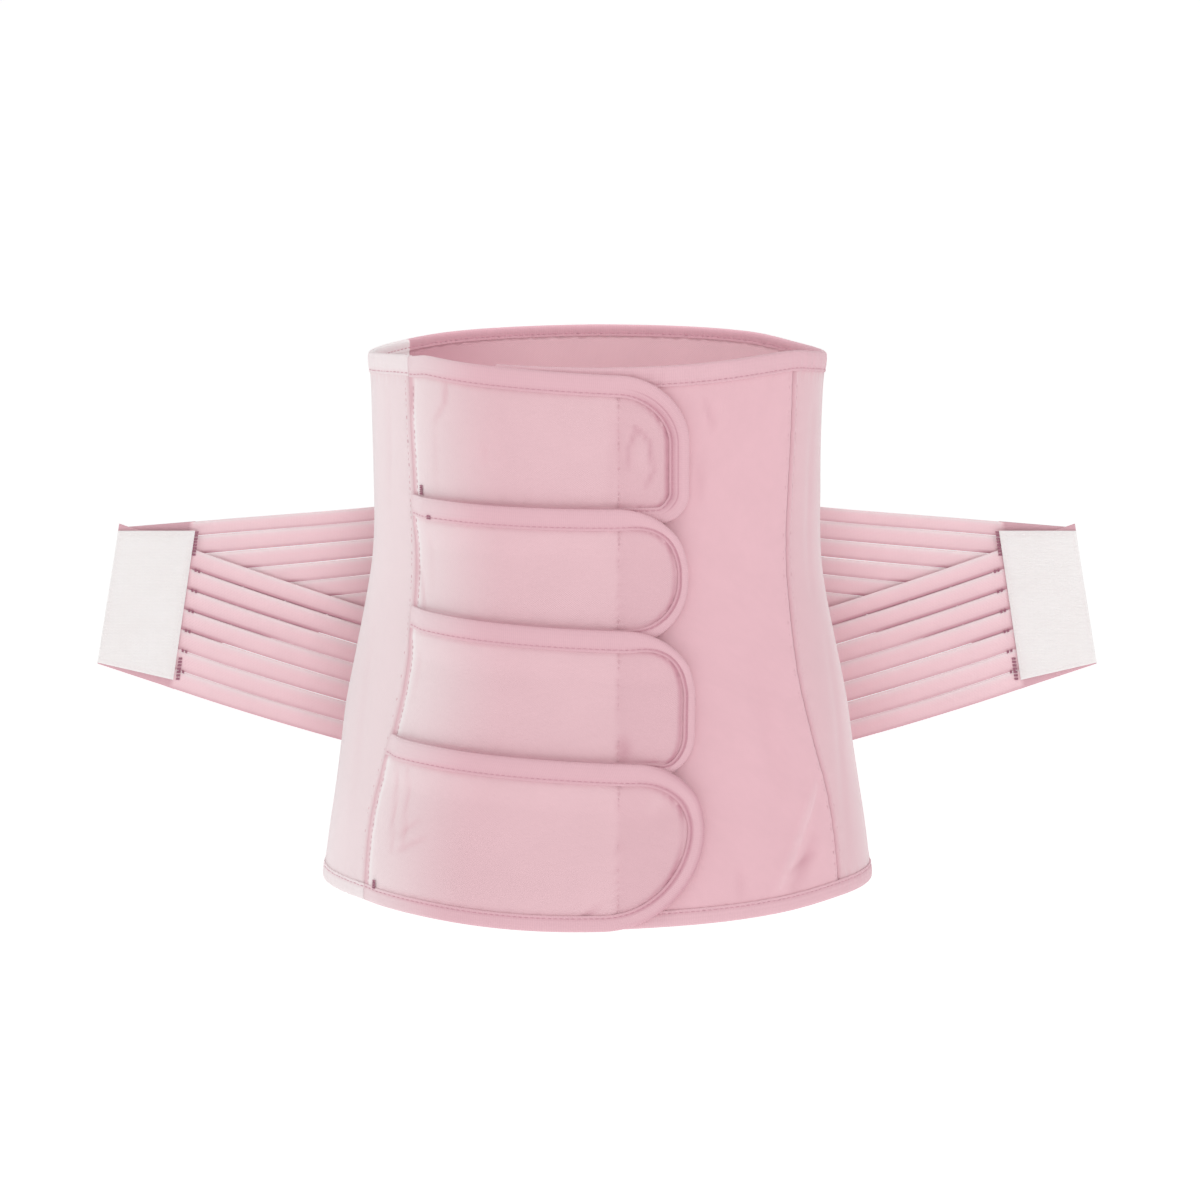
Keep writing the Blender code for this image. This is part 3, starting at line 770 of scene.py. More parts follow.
def looks():
    """The belt's materials by name, made once."""
    if LOOKS:
        return LOOKS
    colours = bpy.context.scene.belt_colours
    LOOKS["knit"] = knit("pink_knit", colours.cloth, colours.cloth_painted_shade)
    LOOKS["loop"] = brushed_loop("pink_brushed_loop", colours.loop, colours.cloth_painted_shade)
    LOOKS["tape"] = ribbed_tape("pink_fold_over_tape", colours.tape, colours.cloth_painted_shade)
    LOOKS["elastic"] = corded_elastic("pink_corded_elastic", colours.elastic, colours.cloth_painted_shade)
    LOOKS["hook"] = hook_tape("white_hook_tape", colours.hook, colours.cloth_painted_shade)
    LOOKS["thread"] = twisted_thread("pink_thread", colours.thread)
    LOOKS["soft_thread"] = twisted_thread("soft_pink_thread", colours.soft_thread)
    LOOKS["tack"] = twisted_thread("deep_pink_thread", colours.tack)
    LOOKS["pale_thread"] = twisted_thread("pale_thread", colours.hook)
    return LOOKS


def knit(name, base, deep):
    """Fine warp knit: staggered loops in vertical wales."""
    look = Finish(name, 0.82, 0.9)
    wales = look.wave(look.u, 0.0015)
    courses = look.wave(look.v, 0.0013)
    loops = wales * courses * 0.5 + 0.5
    fuzz = look.noise(0.0006, 3.0)
    height = loops * 0.7 + fuzz * 0.3
    return look.finish(look.colour(base, deep, height), height, 0.00022, 0.9 - loops * 0.12)


def brushed_loop(name, base, deep):
    """Brushed loop face: a short nap with soft patches."""
    look = Finish(name, 0.92, 0.55)
    nap = look.noise(0.0005, 4.0)
    patches = look.noise(0.006, 3.0)
    height = nap * 0.75 + patches * 0.25
    colour = look.colour(base, deep, nap * 0.4 + patches * 0.6)
    return look.finish(colour, height, 0.0003, 0.95 - nap * 0.1)


def ribbed_tape(name, base, deep):
    """Fold-over elastic tape: fine ribs across it and two soft lines along it."""
    look = Finish(name, 0.62, 0.3)
    ribs = look.wave(look.u, 0.0011) * 0.5 + 0.5
    lines = look.wave(look.v, 0.0022) * 0.5 + 0.5
    height = ribs * 0.65 + lines * 0.2 + look.noise(0.0007) * 0.15
    return look.finish(look.colour(base, deep, height), height, 0.00018, 0.68 - ribs * 0.14)


def corded_elastic(name, base, deep):
    """Woven elastic: cords along the strip, crossed by a fine weft."""
    look = Finish(name, 0.75, 0.3)
    cords = look.wave(look.v, 0.0018).size()
    weft = look.wave(look.u, 0.0009) * 0.5 + 0.5
    height = cords * 0.65 + weft * 0.35
    return look.finish(look.colour(base, deep, height), height, 0.00025, 0.82 - cords * 0.12)


def hook_tape(name, base, deep):
    """Hook tape: staggered rows of short hooks on a woven ground."""
    look = Finish(name, 0.7, 0.25)
    rows = look.wave(look.v, 0.0019)
    stems = look.wave(look.u + rows * 0.0002, 0.0015)
    hooks = (rows * stems).size()
    height = hooks * 0.85 + look.noise(0.0004) * 0.15
    return look.finish(look.colour(base, deep, height), height, 0.0004, 0.8 - hooks * 0.25)


def twisted_thread(name, base):
    """Sewing thread: two plies twisted round each other."""
    look = Finish(name, 0.55, 0.2)
    plies = look.wave(look.u + look.v, 0.0008) * 0.5 + 0.5
    deep = [channel * 0.7 for channel in base]
    return look.finish(look.colour(base, deep, plies), plies, 0.0001, 0.6 - plies * 0.1)


# Body panels


def panel_edges(panel, height):
    """Angles of a panel's two sides at each height, going back round from the left front seam."""
    left = left_seam(height)
    edges = (
        left,
        -BACK_SEAM_ANGLE + 0 * left,
        BACK_SEAM_ANGLE - FULL_TURN + 0 * left,
        right_seam(height) - FULL_TURN,
        -angle_at(LANDING_HIDDEN_REACH, height) - FULL_TURN,
    )
    return edges[panel], edges[panel + 1]


def panel_angle(panel, share, height):
    start, stop = panel_edges(panel, height)
    half_gap = angle_of(GAP / 2, height)
    return mix(start - half_gap, stop + half_gap, share)


def panel_relief(start_distance, stop_distance, rim_distance, hem_distance, run):
    """Rise of a panel's face: drawn in at its seams, gathered beside its stitched lines."""
    total = 0
    for distance in (start_distance, stop_distance):
        total = total - SEAM_DIP * bell(distance, SEAM_DIP_WIDTH)
        total = total + SEAM_WELT * bell(distance - SEAM_STITCH_INSET / 2, SEAM_DIP_WIDTH)
        total = total - SEAM_WELT * bell(distance - SEAM_STITCH_INSET, HOOK_SEAM_WIDTH / 2)
        total = total + pucker_wave(rim_distance, distance - SEAM_STITCH_INSET)
    for distance, width in ((rim_distance, RIM_BINDING_WIDTH), (hem_distance, HEM_BINDING_WIDTH)):
        inside = np.maximum(distance - width, 0)
        total = total + pucker_wave(run, inside) * (distance > width / 2)
    return total


def add_panels():
    sizes = bpy.context.scene.belt_sizes
    for panel, (side, outside, inside_start, inside_stop) in enumerate(PANEL_SHADES):
        start, stop = panel_edges(panel, np.array(-HEM_DROP / 2))
        across = abs(math.radians(stop - start)) * (WAIST_HALF_WIDTH + HEM_HALF_WIDTH) / 2
        columns = edge_steps(round(across / sizes.cloth_step), 0.35)
        rows = edge_steps(round(FRONT_HEIGHT / sizes.cloth_step), 0.2)[:, None]
        angle = panel_angle(panel, columns, mix(-HEM_DROP, RIM_HEIGHT, rows))
        height = mix(hem_height(angle), rim_height(angle), rows)
        angle = panel_angle(panel, columns, height)
        girth = body_section(height)[0]
        first, last = panel_edges(panel, height)
        start_distance = np.abs(np.radians(first - angle)) * girth
        stop_distance = np.abs(np.radians(angle - last)) * girth
        run = np.radians(angle) * girth
        rim_distance, hem_distance = rim_height(angle) - height, height - hem_height(angle)
        if side == "landing":
            stop_distance = stop_distance + SEAM_STITCH_INSET * 3
        rise = panel_relief(start_distance, stop_distance, rim_distance, hem_distance, run)
        seams = bell(start_distance, SEAM_SHADE_WIDTH) + bell(stop_distance, SEAM_SHADE_WIDTH)
        shade = SEAM_SHADE * seams + outside + body_folds(angle, height)[1]
        # Painted shade and painted light on the inner face, fading from the panel's first side
        inside = mix(inside_start, inside_stop, ease(start_distance / INSIDE_FADE))
        faces = [body_point(angle, height, offset) for offset in (0 * rise, PANEL_THICKNESS + rise)]
        look, slot = ("loop", "loop_cloth") if side == "landing" else ("knit", "panel_cloth")
        add_wall(side + "_cloth", faces, (run, height), (inside, shade), look, side + "_panel")


# Folded tape


def tape_section(width, thickness, inner_leaf=1.0):
    """Inset and offset of points round a folded tape, and its marks: how near each point is to the
    stitched line, to the outer edge and to the middle.

    width is an array with a row for each station, so the section narrows with it. The leaf on the
    cloth's inner face is this share of the outer leaf's width.
    """
    rise = TAPE_THICKNESS
    top = thickness + TOUCH
    # Share of the width, mm beyond it, height over the cloth, and the marks
    shape = (
        (1.00, 0.0, top, 0.9, 0.0, 0.0),
        (1.00, 0.1, top + rise * 0.75, 0.9, 0.0, 0.0),
        (1.00, -0.5, top + rise * 1.10, 0.3, 0.0, 0.0),
        (1.00, -1.2, top + rise * 0.95, 0.7, 0.0, 0.0),
        (1.00, -1.7, top + rise * GROOVE_SHARE, 1.0, 0.0, 0.0),
        (1.00, -2.2, top + rise * 0.95, 0.7, 0.0, 0.0),
        (0.66, -0.6, top + rise * 1.45, 0.0, 0.0, 0.2),
        (0.60, -0.6, top + rise * 1.35, 0.0, 0.0, 1.0),
        (0.54, -0.6, top + rise * 1.45, 0.0, 0.0, 0.2),
        (0.30, 0.0, top + rise * 1.60, 0.0, 0.0, 0.0),
        (0.00, 0.6, top + rise * 1.45, 0.0, 0.5, 0.0),
        (0.00, -0.3, top + rise * 0.90, 0.0, 1.0, 0.0),
        (0.00, -0.9, top + rise * 0.05, 0.0, 1.0, 0.0),
        (0.00, -1.1, thickness / 2, 0.0, 1.0, 0.0),
        (0.00, -0.9, -rise * 0.05, 0.0, 0.5, 0.0),
        (0.00, -0.3, -rise * 0.85, 0.0, 0.0, 0.0),
        (0.00, 0.8, -rise * 1.15, 0.0, 0.0, 0.0),
        (1.00, -2.2, -rise * 1.05, 0.6, 0.0, 0.0),
        (1.00, -1.7, -rise * 0.85, 1.0, 0.0, 0.0),
        (1.00, -1.2, -rise * 1.05, 0.6, 0.0, 0.0),
        (1.00, 0.1, -rise * 0.8, 0.0, 0.0, 0.0),
        (1.00, 0.0, -TOUCH, 0.0, 0.0, 0.0),
        (0.00, 0.1, -TOUCH, 0.0, 0.0, 0.0),
        (0.00, 0.0, thickness / 2, 0.0, 0.0, 0.0),
        (0.00, 0.1, top, 0.0, 0.0, 0.0),
    )
    share, extra, offset, *marks = np.array(shape).T
    share = np.where(offset < 0, share * inner_leaf, share)
    inset = width[:, None] * share + extra / 1000
    return inset, np.broadcast_to(offset, inset.shape), marks


def section_run(inset, offset):
    """Distance round the section of each of its points."""
    steps = np.hypot(np.diff(inset[0]), np.diff(offset[0]))
    return np.r_[0, np.cumsum(steps)]


def add_tape(name, rings, run, around, shade, node):
    shade = np.broadcast_to(shade, rings.shape[:2]).reshape(-1)
    cloth = pattern_of(*np.broadcast_arrays(run[:, None], around[None, :])).reshape(-1, 3)
    piece = add_piece(name, tube(rings), looks()["tape"], cloth, shade, [node])


def edge_stations():
    """Panel and share along it of each section of the rim's and the hem's tape."""
    step = bpy.context.scene.belt_sizes.tape_step
    found = []
    for panel in range(4):
        start, stop = panel_edges(panel, np.array(0.0))
        count = max(2, round(abs(math.radians(stop - start)) * HEM_HALF_WIDTH / step))
        found += [(panel, i / count) for i in range(count)]
    return found + [(3, 1.0)]


def edge_angle(stations, height):
    """Angles of the stations at each height, a row for each station."""
    angle = np.empty(height.shape)
    for panel in range(4):
        mine = np.array([station[0] == panel for station in stations])
        share = np.array([station[1] for station in stations])[mine][:, None]
        start, stop = panel_edges(panel, height[mine])
        angle[mine] = mix(start, stop, share)
    return angle


def edge_tape_points(edge_height, inwards, inset, offset):
    """Points of the rim's or the hem's tape at these insets from the edge."""
    stations = edge_stations()
    flat = np.full((len(stations), 1), float(edge_height(0)))
    at_edge = edge_angle(stations, flat)
    height = edge_height(at_edge) + inwards * inset
    angle = edge_angle(stations, height)
    run = np.radians(at_edge[:, 0]) * body_section(height[:, 0])[0]
    gather = pucker_wave(run[:, None], (inset - RIM_BINDING_WIDTH) / 2)
    return body_point(angle, height, offset + gather), np.abs(run - run[0])


def add_edge_tapes():
    edges = (
        ("rim_tape", rim_height, -1, RIM_BINDING_WIDTH, "top_binding"),
        ("hem_tape", hem_height, 1, HEM_BINDING_WIDTH, "bottom_binding"),
    )
    for name, edge_height, inwards, width, node in edges:
        widths = np.full(len(edge_stations()), width)
        inset, offset, (line, *_) = tape_section(widths, PANEL_THICKNESS, INNER_LEAF)
        rings, run = edge_tape_points(edge_height, inwards, inset, offset)
        # Painted light on both leaves along the left side panel, as if lit from the left; elsewhere a painted
        # shade on the inner leaf, inside the belt
        at_left = np.array([panel == 0 for panel, _ in edge_stations()])[:, None]
        painted_left_light = np.where(offset < 0, -1.0, -EDGE_PAINTED_LIGHT)
        shade = np.where(at_left, painted_left_light, INNER_TAPE_SHADE * (offset < 0)) + TAPE_LINE_SHADE * line
        add_tape(name, rings, run, section_run(inset, offset), shade, node)


# Straps


def strap_top(strap, angle):
    """Height of the strap's top edge; the first strap's starts level with the left panel's rim."""
    _, share, fall, *_ = STRAPS[strap]
    left, right = left_seam(0.0), angle_at(STRAP_REACH, 0.0)
    tilt = STRAP_FALL * fall * (0.5 - (angle - left) / (right - left))
    line = RIM_HEIGHT - share * FRONT_HEIGHT + tilt
    if strap == 0:
        return mix(rim_height(angle), line, ease((angle - left) / RIM_JOIN_TURN))
    return line


def strap_bottom(strap, angle):
    if strap + 1 < len(STRAPS):
        return strap_top(strap + 1, angle) - STRAP_OVERLAP
    return hem_height(angle)


def corner_inset(depth, radius):
    """How far a round corner draws the end in, this deep below the corner's edge."""
    within = np.clip(radius - np.maximum(depth, 0), 0, radius)
    return np.where(depth >= radius, 0.0, radius - np.sqrt(radius**2 - within**2))


def strap_end(strap, angle, height, margin=0.0):
    """The angle of the strap's right end at each height, a margin in from its edge.

    Its round corners start from where its top and bottom edges are at the given angle.
    """
    _, _, _, reach, top_corner, bottom_corner, _ = STRAPS[strap]
    from_top = strap_top(strap, angle) - margin - height
    from_bottom = height - strap_bottom(strap, angle) - margin
    inset = np.maximum(
        corner_inset(from_top, STRAP_CORNER * top_corner - margin),
        corner_inset(from_bottom, STRAP_CORNER * bottom_corner - margin),
    )
    return angle_at(STRAP_REACH * reach - margin - inset, height)


def strap_lift(strap, angle, height):
    """How far the strap's inner face stands off the body's."""
    seam = left_seam(height)
    landing_end = -angle_at(LANDING_HIDDEN_REACH, height)
    climb = ease((angle - seam) / ((landing_end - seam) * LIFT_RUN_SHARE))
    lift = mix(PANEL_THICKNESS - STRAP_THICKNESS * SEWN_SQUEEZE, STRAP_LIFT, climb)
    if strap > 0:
        depth = strap_top(strap, angle) - height
        over = OVERLAP_LIFT * (1 - ease((depth - OVERLAP_FLAT) / OVERLAP_RAMP))
        lift = lift + over * squeeze(angle, height)
    return lift


def squeeze(angle, height):
    """How thick the straps' layers are: pressed flat at the left seam that holds them."""
    away = np.radians(angle - left_seam(height)) * body_section(height)[0]
    return mix(SEWN_SQUEEZE, 1.0, ease(away / SEWN_RUN))


def strap_point(strap, angle, height, offset):
    return body_point(angle, height, strap_lift(strap, angle, height) + offset * squeeze(angle, height))


def strap_spots(strap, downs, acrosses):
    """Angles and heights of a strap's grid: row 0 is the top edge, column 0 the sewn left end."""
    angle = np.zeros((len(downs), len(acrosses)))
    for _ in range(SETTLING_PASSES):
        height = mix(strap_top(strap, angle), strap_bottom(strap, angle), downs[:, None])
        left = left_seam(height) + angle_of(TOUCH * 2, height)
        angle = mix(left, strap_end(strap, angle, height), acrosses)
    return angle, height


def flat_spot(angle, height):
    """Distance round from the left seam, and height, as one flat pattern."""
    girth = float(body_section(np.array(0.0))[0])
    return np.stack([np.radians(angle - left_seam(height)) * girth, height], -1)


def from_flat(spot):
    """Angle and height of points of the flat pattern."""
    girth = float(body_section(np.array(0.0))[0])
    return np.degrees(spot[..., 0] / girth) + left_seam(spot[..., 1]), spot[..., 1]


def strap_edge(strap):
    """Evenly spaced flat points round the strap, their inward directions and tape widths."""
    downs, acrosses = cosine_steps(160), np.linspace(0, 1, 120)
    spots = flat_spot(*strap_spots(strap, downs, acrosses))
    line = np.concatenate([spots[0], spots[1:, -1], spots[-1, -2::-1]])
    lengths = np.r_[0, np.cumsum(np.linalg.norm(np.diff(line, axis=0), axis=1))]
    count = round(lengths[-1] / bpy.context.scene.belt_sizes.tape_step)
    run = np.linspace(0, lengths[-1], count + 1)
    even = np.stack([np.interp(run, lengths, line[:, k]) for k in (0, 1)], -1)
    ahead = np.gradient(even, axis=0)
    soft = np.pad(ahead, ((2, 2), (0, 0)), mode="edge")
    ahead = sum(soft[k : k + len(ahead)] for k in range(5))
    ahead /= np.linalg.norm(ahead, axis=1)[:, None]
    inward = np.stack([ahead[:, 1], -ahead[:, 0]], -1)
    settle = ease(np.minimum(run, run[-1] - run) / STRAP_BINDING_WIDTH)[:, None]
    straight = np.where(run < run[-1] / 2, -1.0, 1.0)[:, None] * np.array([0.0, 1.0])
    inward = mix(straight, inward, settle)
    inward /= np.linalg.norm(inward, axis=1)[:, None]
    top_share = ease((run[-1] / 2 - run) / STRAP_CORNER + 0.5)
    wide = mix(HEM_BINDING_WIDTH, STRAP_BINDING_WIDTH, top_share)
    upright = ease(np.abs(ahead[:, 1]) / NARROWING_SLOPE)
    width = mix(wide, STRAPS[strap][-1], upright)
    return even, inward, width, run, upright


def strap_tape_points(strap, inset, offset):
    even, inward, *_ = strap_edge(strap)
    moved = even[:, None, :] + inward[:, None, :] * inset[..., None]
    angle, height = from_flat(moved)
    return strap_point(strap, angle, height, offset)


def strap_relief(strap, spots, u, v, down, across):
    """Rise and painted shade of a strap's face, with painted light towards its left seam: swollen inside its
    tape, gathered, folded and sewn.
    """
    sizes = bpy.context.scene.belt_sizes
    even, _, width, run, _ = strap_edge(strap)
    gaps = np.linalg.norm(spots[:, :, None, :] - even[None, None, :, :], axis=3)
    nearest = gaps.argmin(2)
    inside = np.maximum(gaps.min(2) - width[nearest], 0)
    swell = sizes.pillow * (1 - bell(inside, PILLOW_REACH))
    sewn = ease(u / SEWN_REACH)
    gather = pucker_wave(run[nearest], inside) * (inside > 0)
    total = swell * sewn + gather
    hook = np.abs(u - hook_seam_run(strap, v))
    total = total - HOOK_SEAM_DIP * bell(hook, HOOK_SEAM_WIDTH)
    total = total + pucker_wave(v, hook) * 0.8
    total = total + pucker_wave(v, np.abs(u - SEAM_STITCH_INSET)) - END_SEAM_DIP * bell(u, 0.0016)
    long, tall = float(u.max()), float(v.max() - v.min())
    painted = 0.0
    for which, across_0, down_0, across_1, down_1, reach, rise, tone in STRAP_FOLDS:
        if which == strap:
            ends = (across_0 * long, down_0 * tall, across_1 * long, down_1 * tall)
            here = fold_share(across * long, down * tall, ends, reach)
            total, painted = total + rise * here, painted + tone * here
    ends_there = ease((u / u.max() - 0.8) / 0.15)
    seam = bell(inside - 0.0005, 0.0015) * (inside > 0)
    painted = painted + mix(INNER_SEAM_SHADE, END_SHADES[strap][0], ends_there) * seam
    hook_area = ease((u - hook_seam_run(strap, v)) / 0.002)
    painted = painted + HOOK_LINE_SHADE * bell(hook, 0.0009) + HOOK_AREA_SHADE * hook_area
    # Painted light pales the strap towards its left seam as if lit from the left; beside that seam a painted
    # shade line and a painted highlight on the welt
    painted = painted - STRAP_PAINTED_LIGHT * (1 - ease(u / STRAP_PAINTED_LIGHT_REACH))
    painted = painted + LEFT_SEAM_SHADE * bell(u - LEFT_SEAM_RUN, LEFT_SEAM_WIDTH)
    painted = painted - LEFT_WELT_SHADE * bell(u - LEFT_WELT_RUN, LEFT_WELT_WIDTH)
    return total, painted


def hook_seam_run(strap, height):
    """Flat distance from the left seam of the line that sews the hook piece on."""
    angle = angle_at(HOOK_START, height)
    return flat_spot(angle, height)[..., 0]


def add_straps():
    sizes = bpy.context.scene.belt_sizes
    for strap, (name, *_) in enumerate(STRAPS):
        downs = mix(np.linspace(0, 1, 61), cosine_steps(60), 0.8)
        acrosses = np.linspace(0, 1, round(0.172 / sizes.cloth_step) + 1)
        angle, height = strap_spots(strap, downs, acrosses)
        spots = flat_spot(angle, height)
        u, v = spots[..., 0], spots[..., 1]
        rise, shade = strap_relief(strap, spots, u, v, downs[:, None], acrosses[None, :])
        offsets = (0 * rise, STRAP_THICKNESS + np.maximum(rise, -DEEPEST_RELIEF))
        faces = [strap_point(strap, angle, height, offset) for offset in offsets]
        add_wall(name + "_cloth", faces, (u, v), (0.0, shade), "knit", name)
        even, _, width, run, upright = strap_edge(strap)
        inset, offset, (line, outer, middle) = tape_section(width, STRAP_THICKNESS)
        rings = strap_tape_points(strap, inset, offset)
        # Painted light pales the tape towards the left seam, like the strap's cloth
        painted_left_light = STRAP_PAINTED_LIGHT * (1 - ease(even[:, 0] / STRAP_PAINTED_LIGHT_REACH))
        _, outer_shade, middle_shade = END_SHADES[strap]
        shade = mix(TAPE_LINE_SHADE, END_LINE_SHADE, upright)[:, None] * line
        shade = shade + upright[:, None] * (outer_shade * outer + middle_shade * middle)
        shade = shade + (STRAP_TAPE_SHADE - painted_left_light)[:, None]
        add_tape(name + "_tape", rings, run, section_run(inset, offset), shade, name + "_binding")
        add_hook_piece(strap, name)


def add_hook_piece(strap, name):
    """The hook piece under a strap's end, which presses on the landing panel."""
    _, _, _, reach, _, bottom_corner, end_width = STRAPS[strap]
    margin = end_width + HOOK_INSET
    top_margin = STRAP_BINDING_WIDTH + LAY_GAP if strap == 0 else OVERLAP_FLAT + OVERLAP_RAMP
    widest = STRAP_REACH * reach - margin - HOOK_START - HOOK_LEAST_WIDTH
    corner_depth = corner_inset(np.array(widest), STRAP_CORNER * bottom_corner - margin)
    bottom_margin = max(HEM_BINDING_WIDTH + LAY_GAP, margin + float(corner_depth))
    middle = angle_at(HOOK_START, np.array(0.0))
    top = strap_top(strap, middle) - top_margin
    bottom = strap_bottom(strap, middle) + bottom_margin
    downs = mix(np.linspace(0, 1, 31), cosine_steps(30), 0.8)[:, None]
    height = mix(top, bottom, downs) + np.zeros((1, 16))
    share = np.linspace(0, 1, 16)
    angle = mix(angle_at(HOOK_START, height), strap_end(strap, middle, height, margin), share)
    offsets = (PANEL_THICKNESS + LAY_GAP, STRAP_LIFT - LAY_GAP)
    faces = [body_point(angle, height, offset) for offset in offsets]
    pattern = np.moveaxis(flat_spot(angle, height), -1, 0)
    node, below = name + "_hook_pad", ("landing_cloth",)
    add_wall(name + "_hook_piece", faces, pattern, (0.0, 0.0), "hook", node)


# Wings


def back_face(reach, height, offset):
    """Y of the body's back at this reach, offset outwards from the inner face."""
    half_width, half_depth, shift = body_section(height)
    across = reach / (half_width + offset)
    return shift + (half_depth + offset) * np.sqrt(1 - across**2)


def back_slope(reach, height, offset):
    """How fast that face turns forwards at this reach."""
    half_width, half_depth, _ = body_section(height)
    across = reach / (half_width + offset)
    return -(half_depth + offset) * across / (half_width + offset) / np.sqrt(1 - across**2)


def wing_outer_reach(share):
    return WING_TIP_REACH + WING_TIP_SLANT * share


def wing_inner_reach(share):
    return wing_outer_reach(share) - TAB_WIDTH


def wing_depth(reach, height):
    """Y of the face between a wing's two bands: it leaves the back panel flush and ends flat."""
    clearance = LAY_GAP + BAND_THICKNESS + GAP / 2
    near = np.minimum(reach, WING_ROOT_REACH)
    start = back_face(near, height, PANEL_THICKNESS) + clearance
    slope = back_slope(near, height, PANEL_THICKNESS)
    run = wing_inner_reach(0) - WING_ROOT_REACH
    t = np.clip((reach - WING_ROOT_REACH) / run, 0, 1)
    free = mix(start, WING_TIP_DEPTH, ease(t)) + run * slope * (t - 2 * t**2 + t**3)
    return np.where(reach <= WING_ROOT_REACH, start, free)


def wing_point(side, reach, height, offset):
    return np.stack(np.broadcast_arrays(side * reach, wing_depth(reach, height) + offset, height), -1)


def band_spot(band, along_share, down_share):
    """Reach and height on a band: along from root to tip, down from its top edge to its bottom."""
    _, root_top, root_bottom, tip_top, tip_bottom, _ = WING_BANDS[band]
    root = -WING_ROOT_TOP - WING_ROOT_SPAN * mix(root_top, root_bottom, down_share)
    tip_share = mix(tip_top, tip_bottom, down_share)
    tip = -WING_TIP_TOP - WING_TIP_SPAN * tip_share
    reach = mix(WING_ROOT_REACH - WING_ROOT_LAP, wing_outer_reach(tip_share), along_share)
    return reach, mix(root, tip, along_share)


def band_line(band, down_share, reach):
    """Height of a line along a band where it has this reach."""
    start, end = band_spot(band, 0, down_share), band_spot(band, 1, down_share)
    return mix(start[1], end[1], (reach - start[0]) / (end[0] - start[0]))


def band_rows(band):
    """Shares down a band, and the cloth's thickness, shade and crown there."""
    _, root_top, root_bottom, _, _, first = WING_BANDS[band]
    slit = SLIT_WIDTH / (WING_ROOT_SPAN * (root_bottom - root_top))
    strip = (1 - slit * (STRIPS - 1)) / (STRIPS - 1 + first)
    rows = []
    start = 0.0
    for k in range(STRIPS):
        end = start + strip * (first if k == 0 else 1)
        top = start - slit * SLIT_CLOSING * (k > 0)
        bottom = end + slit * SLIT_CLOSING * (k < STRIPS - 1)
        for place, full, tone in STRIP_PROFILE:
            rows.append((mix(top, bottom, place), full, tone, math.sin(math.pi * place)))
        start = end + slit
    return np.array(rows).T


def add_band(side, side_name, band, near, facing):
    """One slit elastic band.

    near is the offset of its front face, and facing is -1 where it bulges forwards.
    """
    downs, fullness, tone, crown = band_rows(band)
    down = downs[:, None]
    start, _ = band_spot(band, 0, down)
    end, _ = band_spot(band, 1, down)
    tip_share = mix(*WING_BANDS[band][3:5], down)
    first = (WING_ROOT_REACH + SLIT_START - start) / (end - start)
    last = (wing_inner_reach(tip_share) - start) / (end - start)
    step = bpy.context.scene.belt_sizes.cloth_step
    middle = np.linspace(0, 1, round(STRIP_LENGTH / step))
    root_part = first * np.linspace(0, 1, ROOT_COLUMNS + 1)[:-1]
    tip_part = mix(last, 1, np.linspace(0, 1, TIP_COLUMNS + 1)[1:])
    share = np.concatenate([root_part, mix(first, last, middle), tip_part], axis=1)
    reach, height = band_spot(band, share, down)
    free = ease((share - first) / 0.15) * ease((last - share) / 0.12)
    strip = np.arange(len(downs)) // len(STRIP_PROFILE)
    swell = facing * STRIP_CROWN * crown[:, None] * free
    sway = facing * STRIP_SWAY * free * (1 + np.sin(9 * share + 1.9 * strip[:, None] + band)) / 2
    thin = BAND_THICKNESS * (1 - fullness[:, None]) / 2
    front = near + thin + swell + sway
    back = near + BAND_THICKNESS - thin + swell + sway
    length = reach - WING_ROOT_REACH
    in_strip = (downs * WING_ROOT_SPAN * 0.45)[:, None] + 0 * share
    columns = share.shape[1]
    is_slit = np.zeros((len(downs) - 1, columns - 1), bool)
    slit_rows = np.arange(len(STRIP_PROFILE) - 1, len(downs) - 1, len(STRIP_PROFILE))
    is_slit[slit_rows, ROOT_COLUMNS : columns - TIP_COLUMNS - 1] = True
    held = ease((share - last) / 0.01)
    # Painted shadow: the strips' shaded edges darken more where the lower band's slits lie over the upper
    # band, and the upper band's slits get a painted dark spot where they end at the lower band's top edge
    across_edge = np.maximum(tone[:, None], 0) / STRIP_PROFILE[-1][-1]
    beyond = height - band_line(1 - band, float(1 - band), reach)
    if band == 0:
        meeting = SLIT_OVER_SHADE * ease(beyond / 0.012 + 0.5)
    else:
        meeting = SLIT_END_SHADE * bell(beyond - 0.0012, 0.0022)
    front_shade = mix(tone[:, None] + meeting * across_edge, TIP_MARGIN_SHADE, held)
    label = f"wing_{side_name}_{WING_BANDS[band][0]}"
    faces = [wing_point(side, reach, height, offset) for offset in (front, back)]
    shades = (front_shade, tone[:, None])
    pattern, node, below = (length, in_strip), label + "_band", ("back_cloth",)
    add_wall(label + "_elastic", faces, pattern, shades, "elastic", node, is_slit)


def tab_corners():
    """Corners of the stack of both bands at the tip: top inner and outer, bottom inner and outer."""
    inner_share = 1 - TAB_WIDTH / (WING_TIP_REACH - WING_ROOT_REACH + WING_ROOT_LAP)
    top_inner, top_outer = band_spot(1, inner_share, 0)[1], band_spot(1, 1, 0)[1]
    bottom_inner, bottom_outer = band_spot(0, inner_share, 1)[1], band_spot(0, 1, 1)[1]
    return (
        ((wing_inner_reach(0), top_inner), (wing_outer_reach(0), top_outer)),
        ((wing_inner_reach(1), bottom_inner), (wing_outer_reach(1), bottom_outer)),
    )


def hook_pad_corners():
    """The white pad: level along its top, and inside the stack's outline."""
    (top_inner, top_outer), (bottom_inner, bottom_outer) = tab_corners()
    top = top_outer[1] - PAD_MARGIN
    inner_corner = (bottom_inner[0], bottom_inner[1] + PAD_CORNER_RISE)
    outer_corner = (bottom_outer[0], bottom_outer[1] + PAD_MARGIN)
    return ((top_inner[0], top), (top_outer[0] + PAD_COVER, top)), (inner_corner, outer_corner)


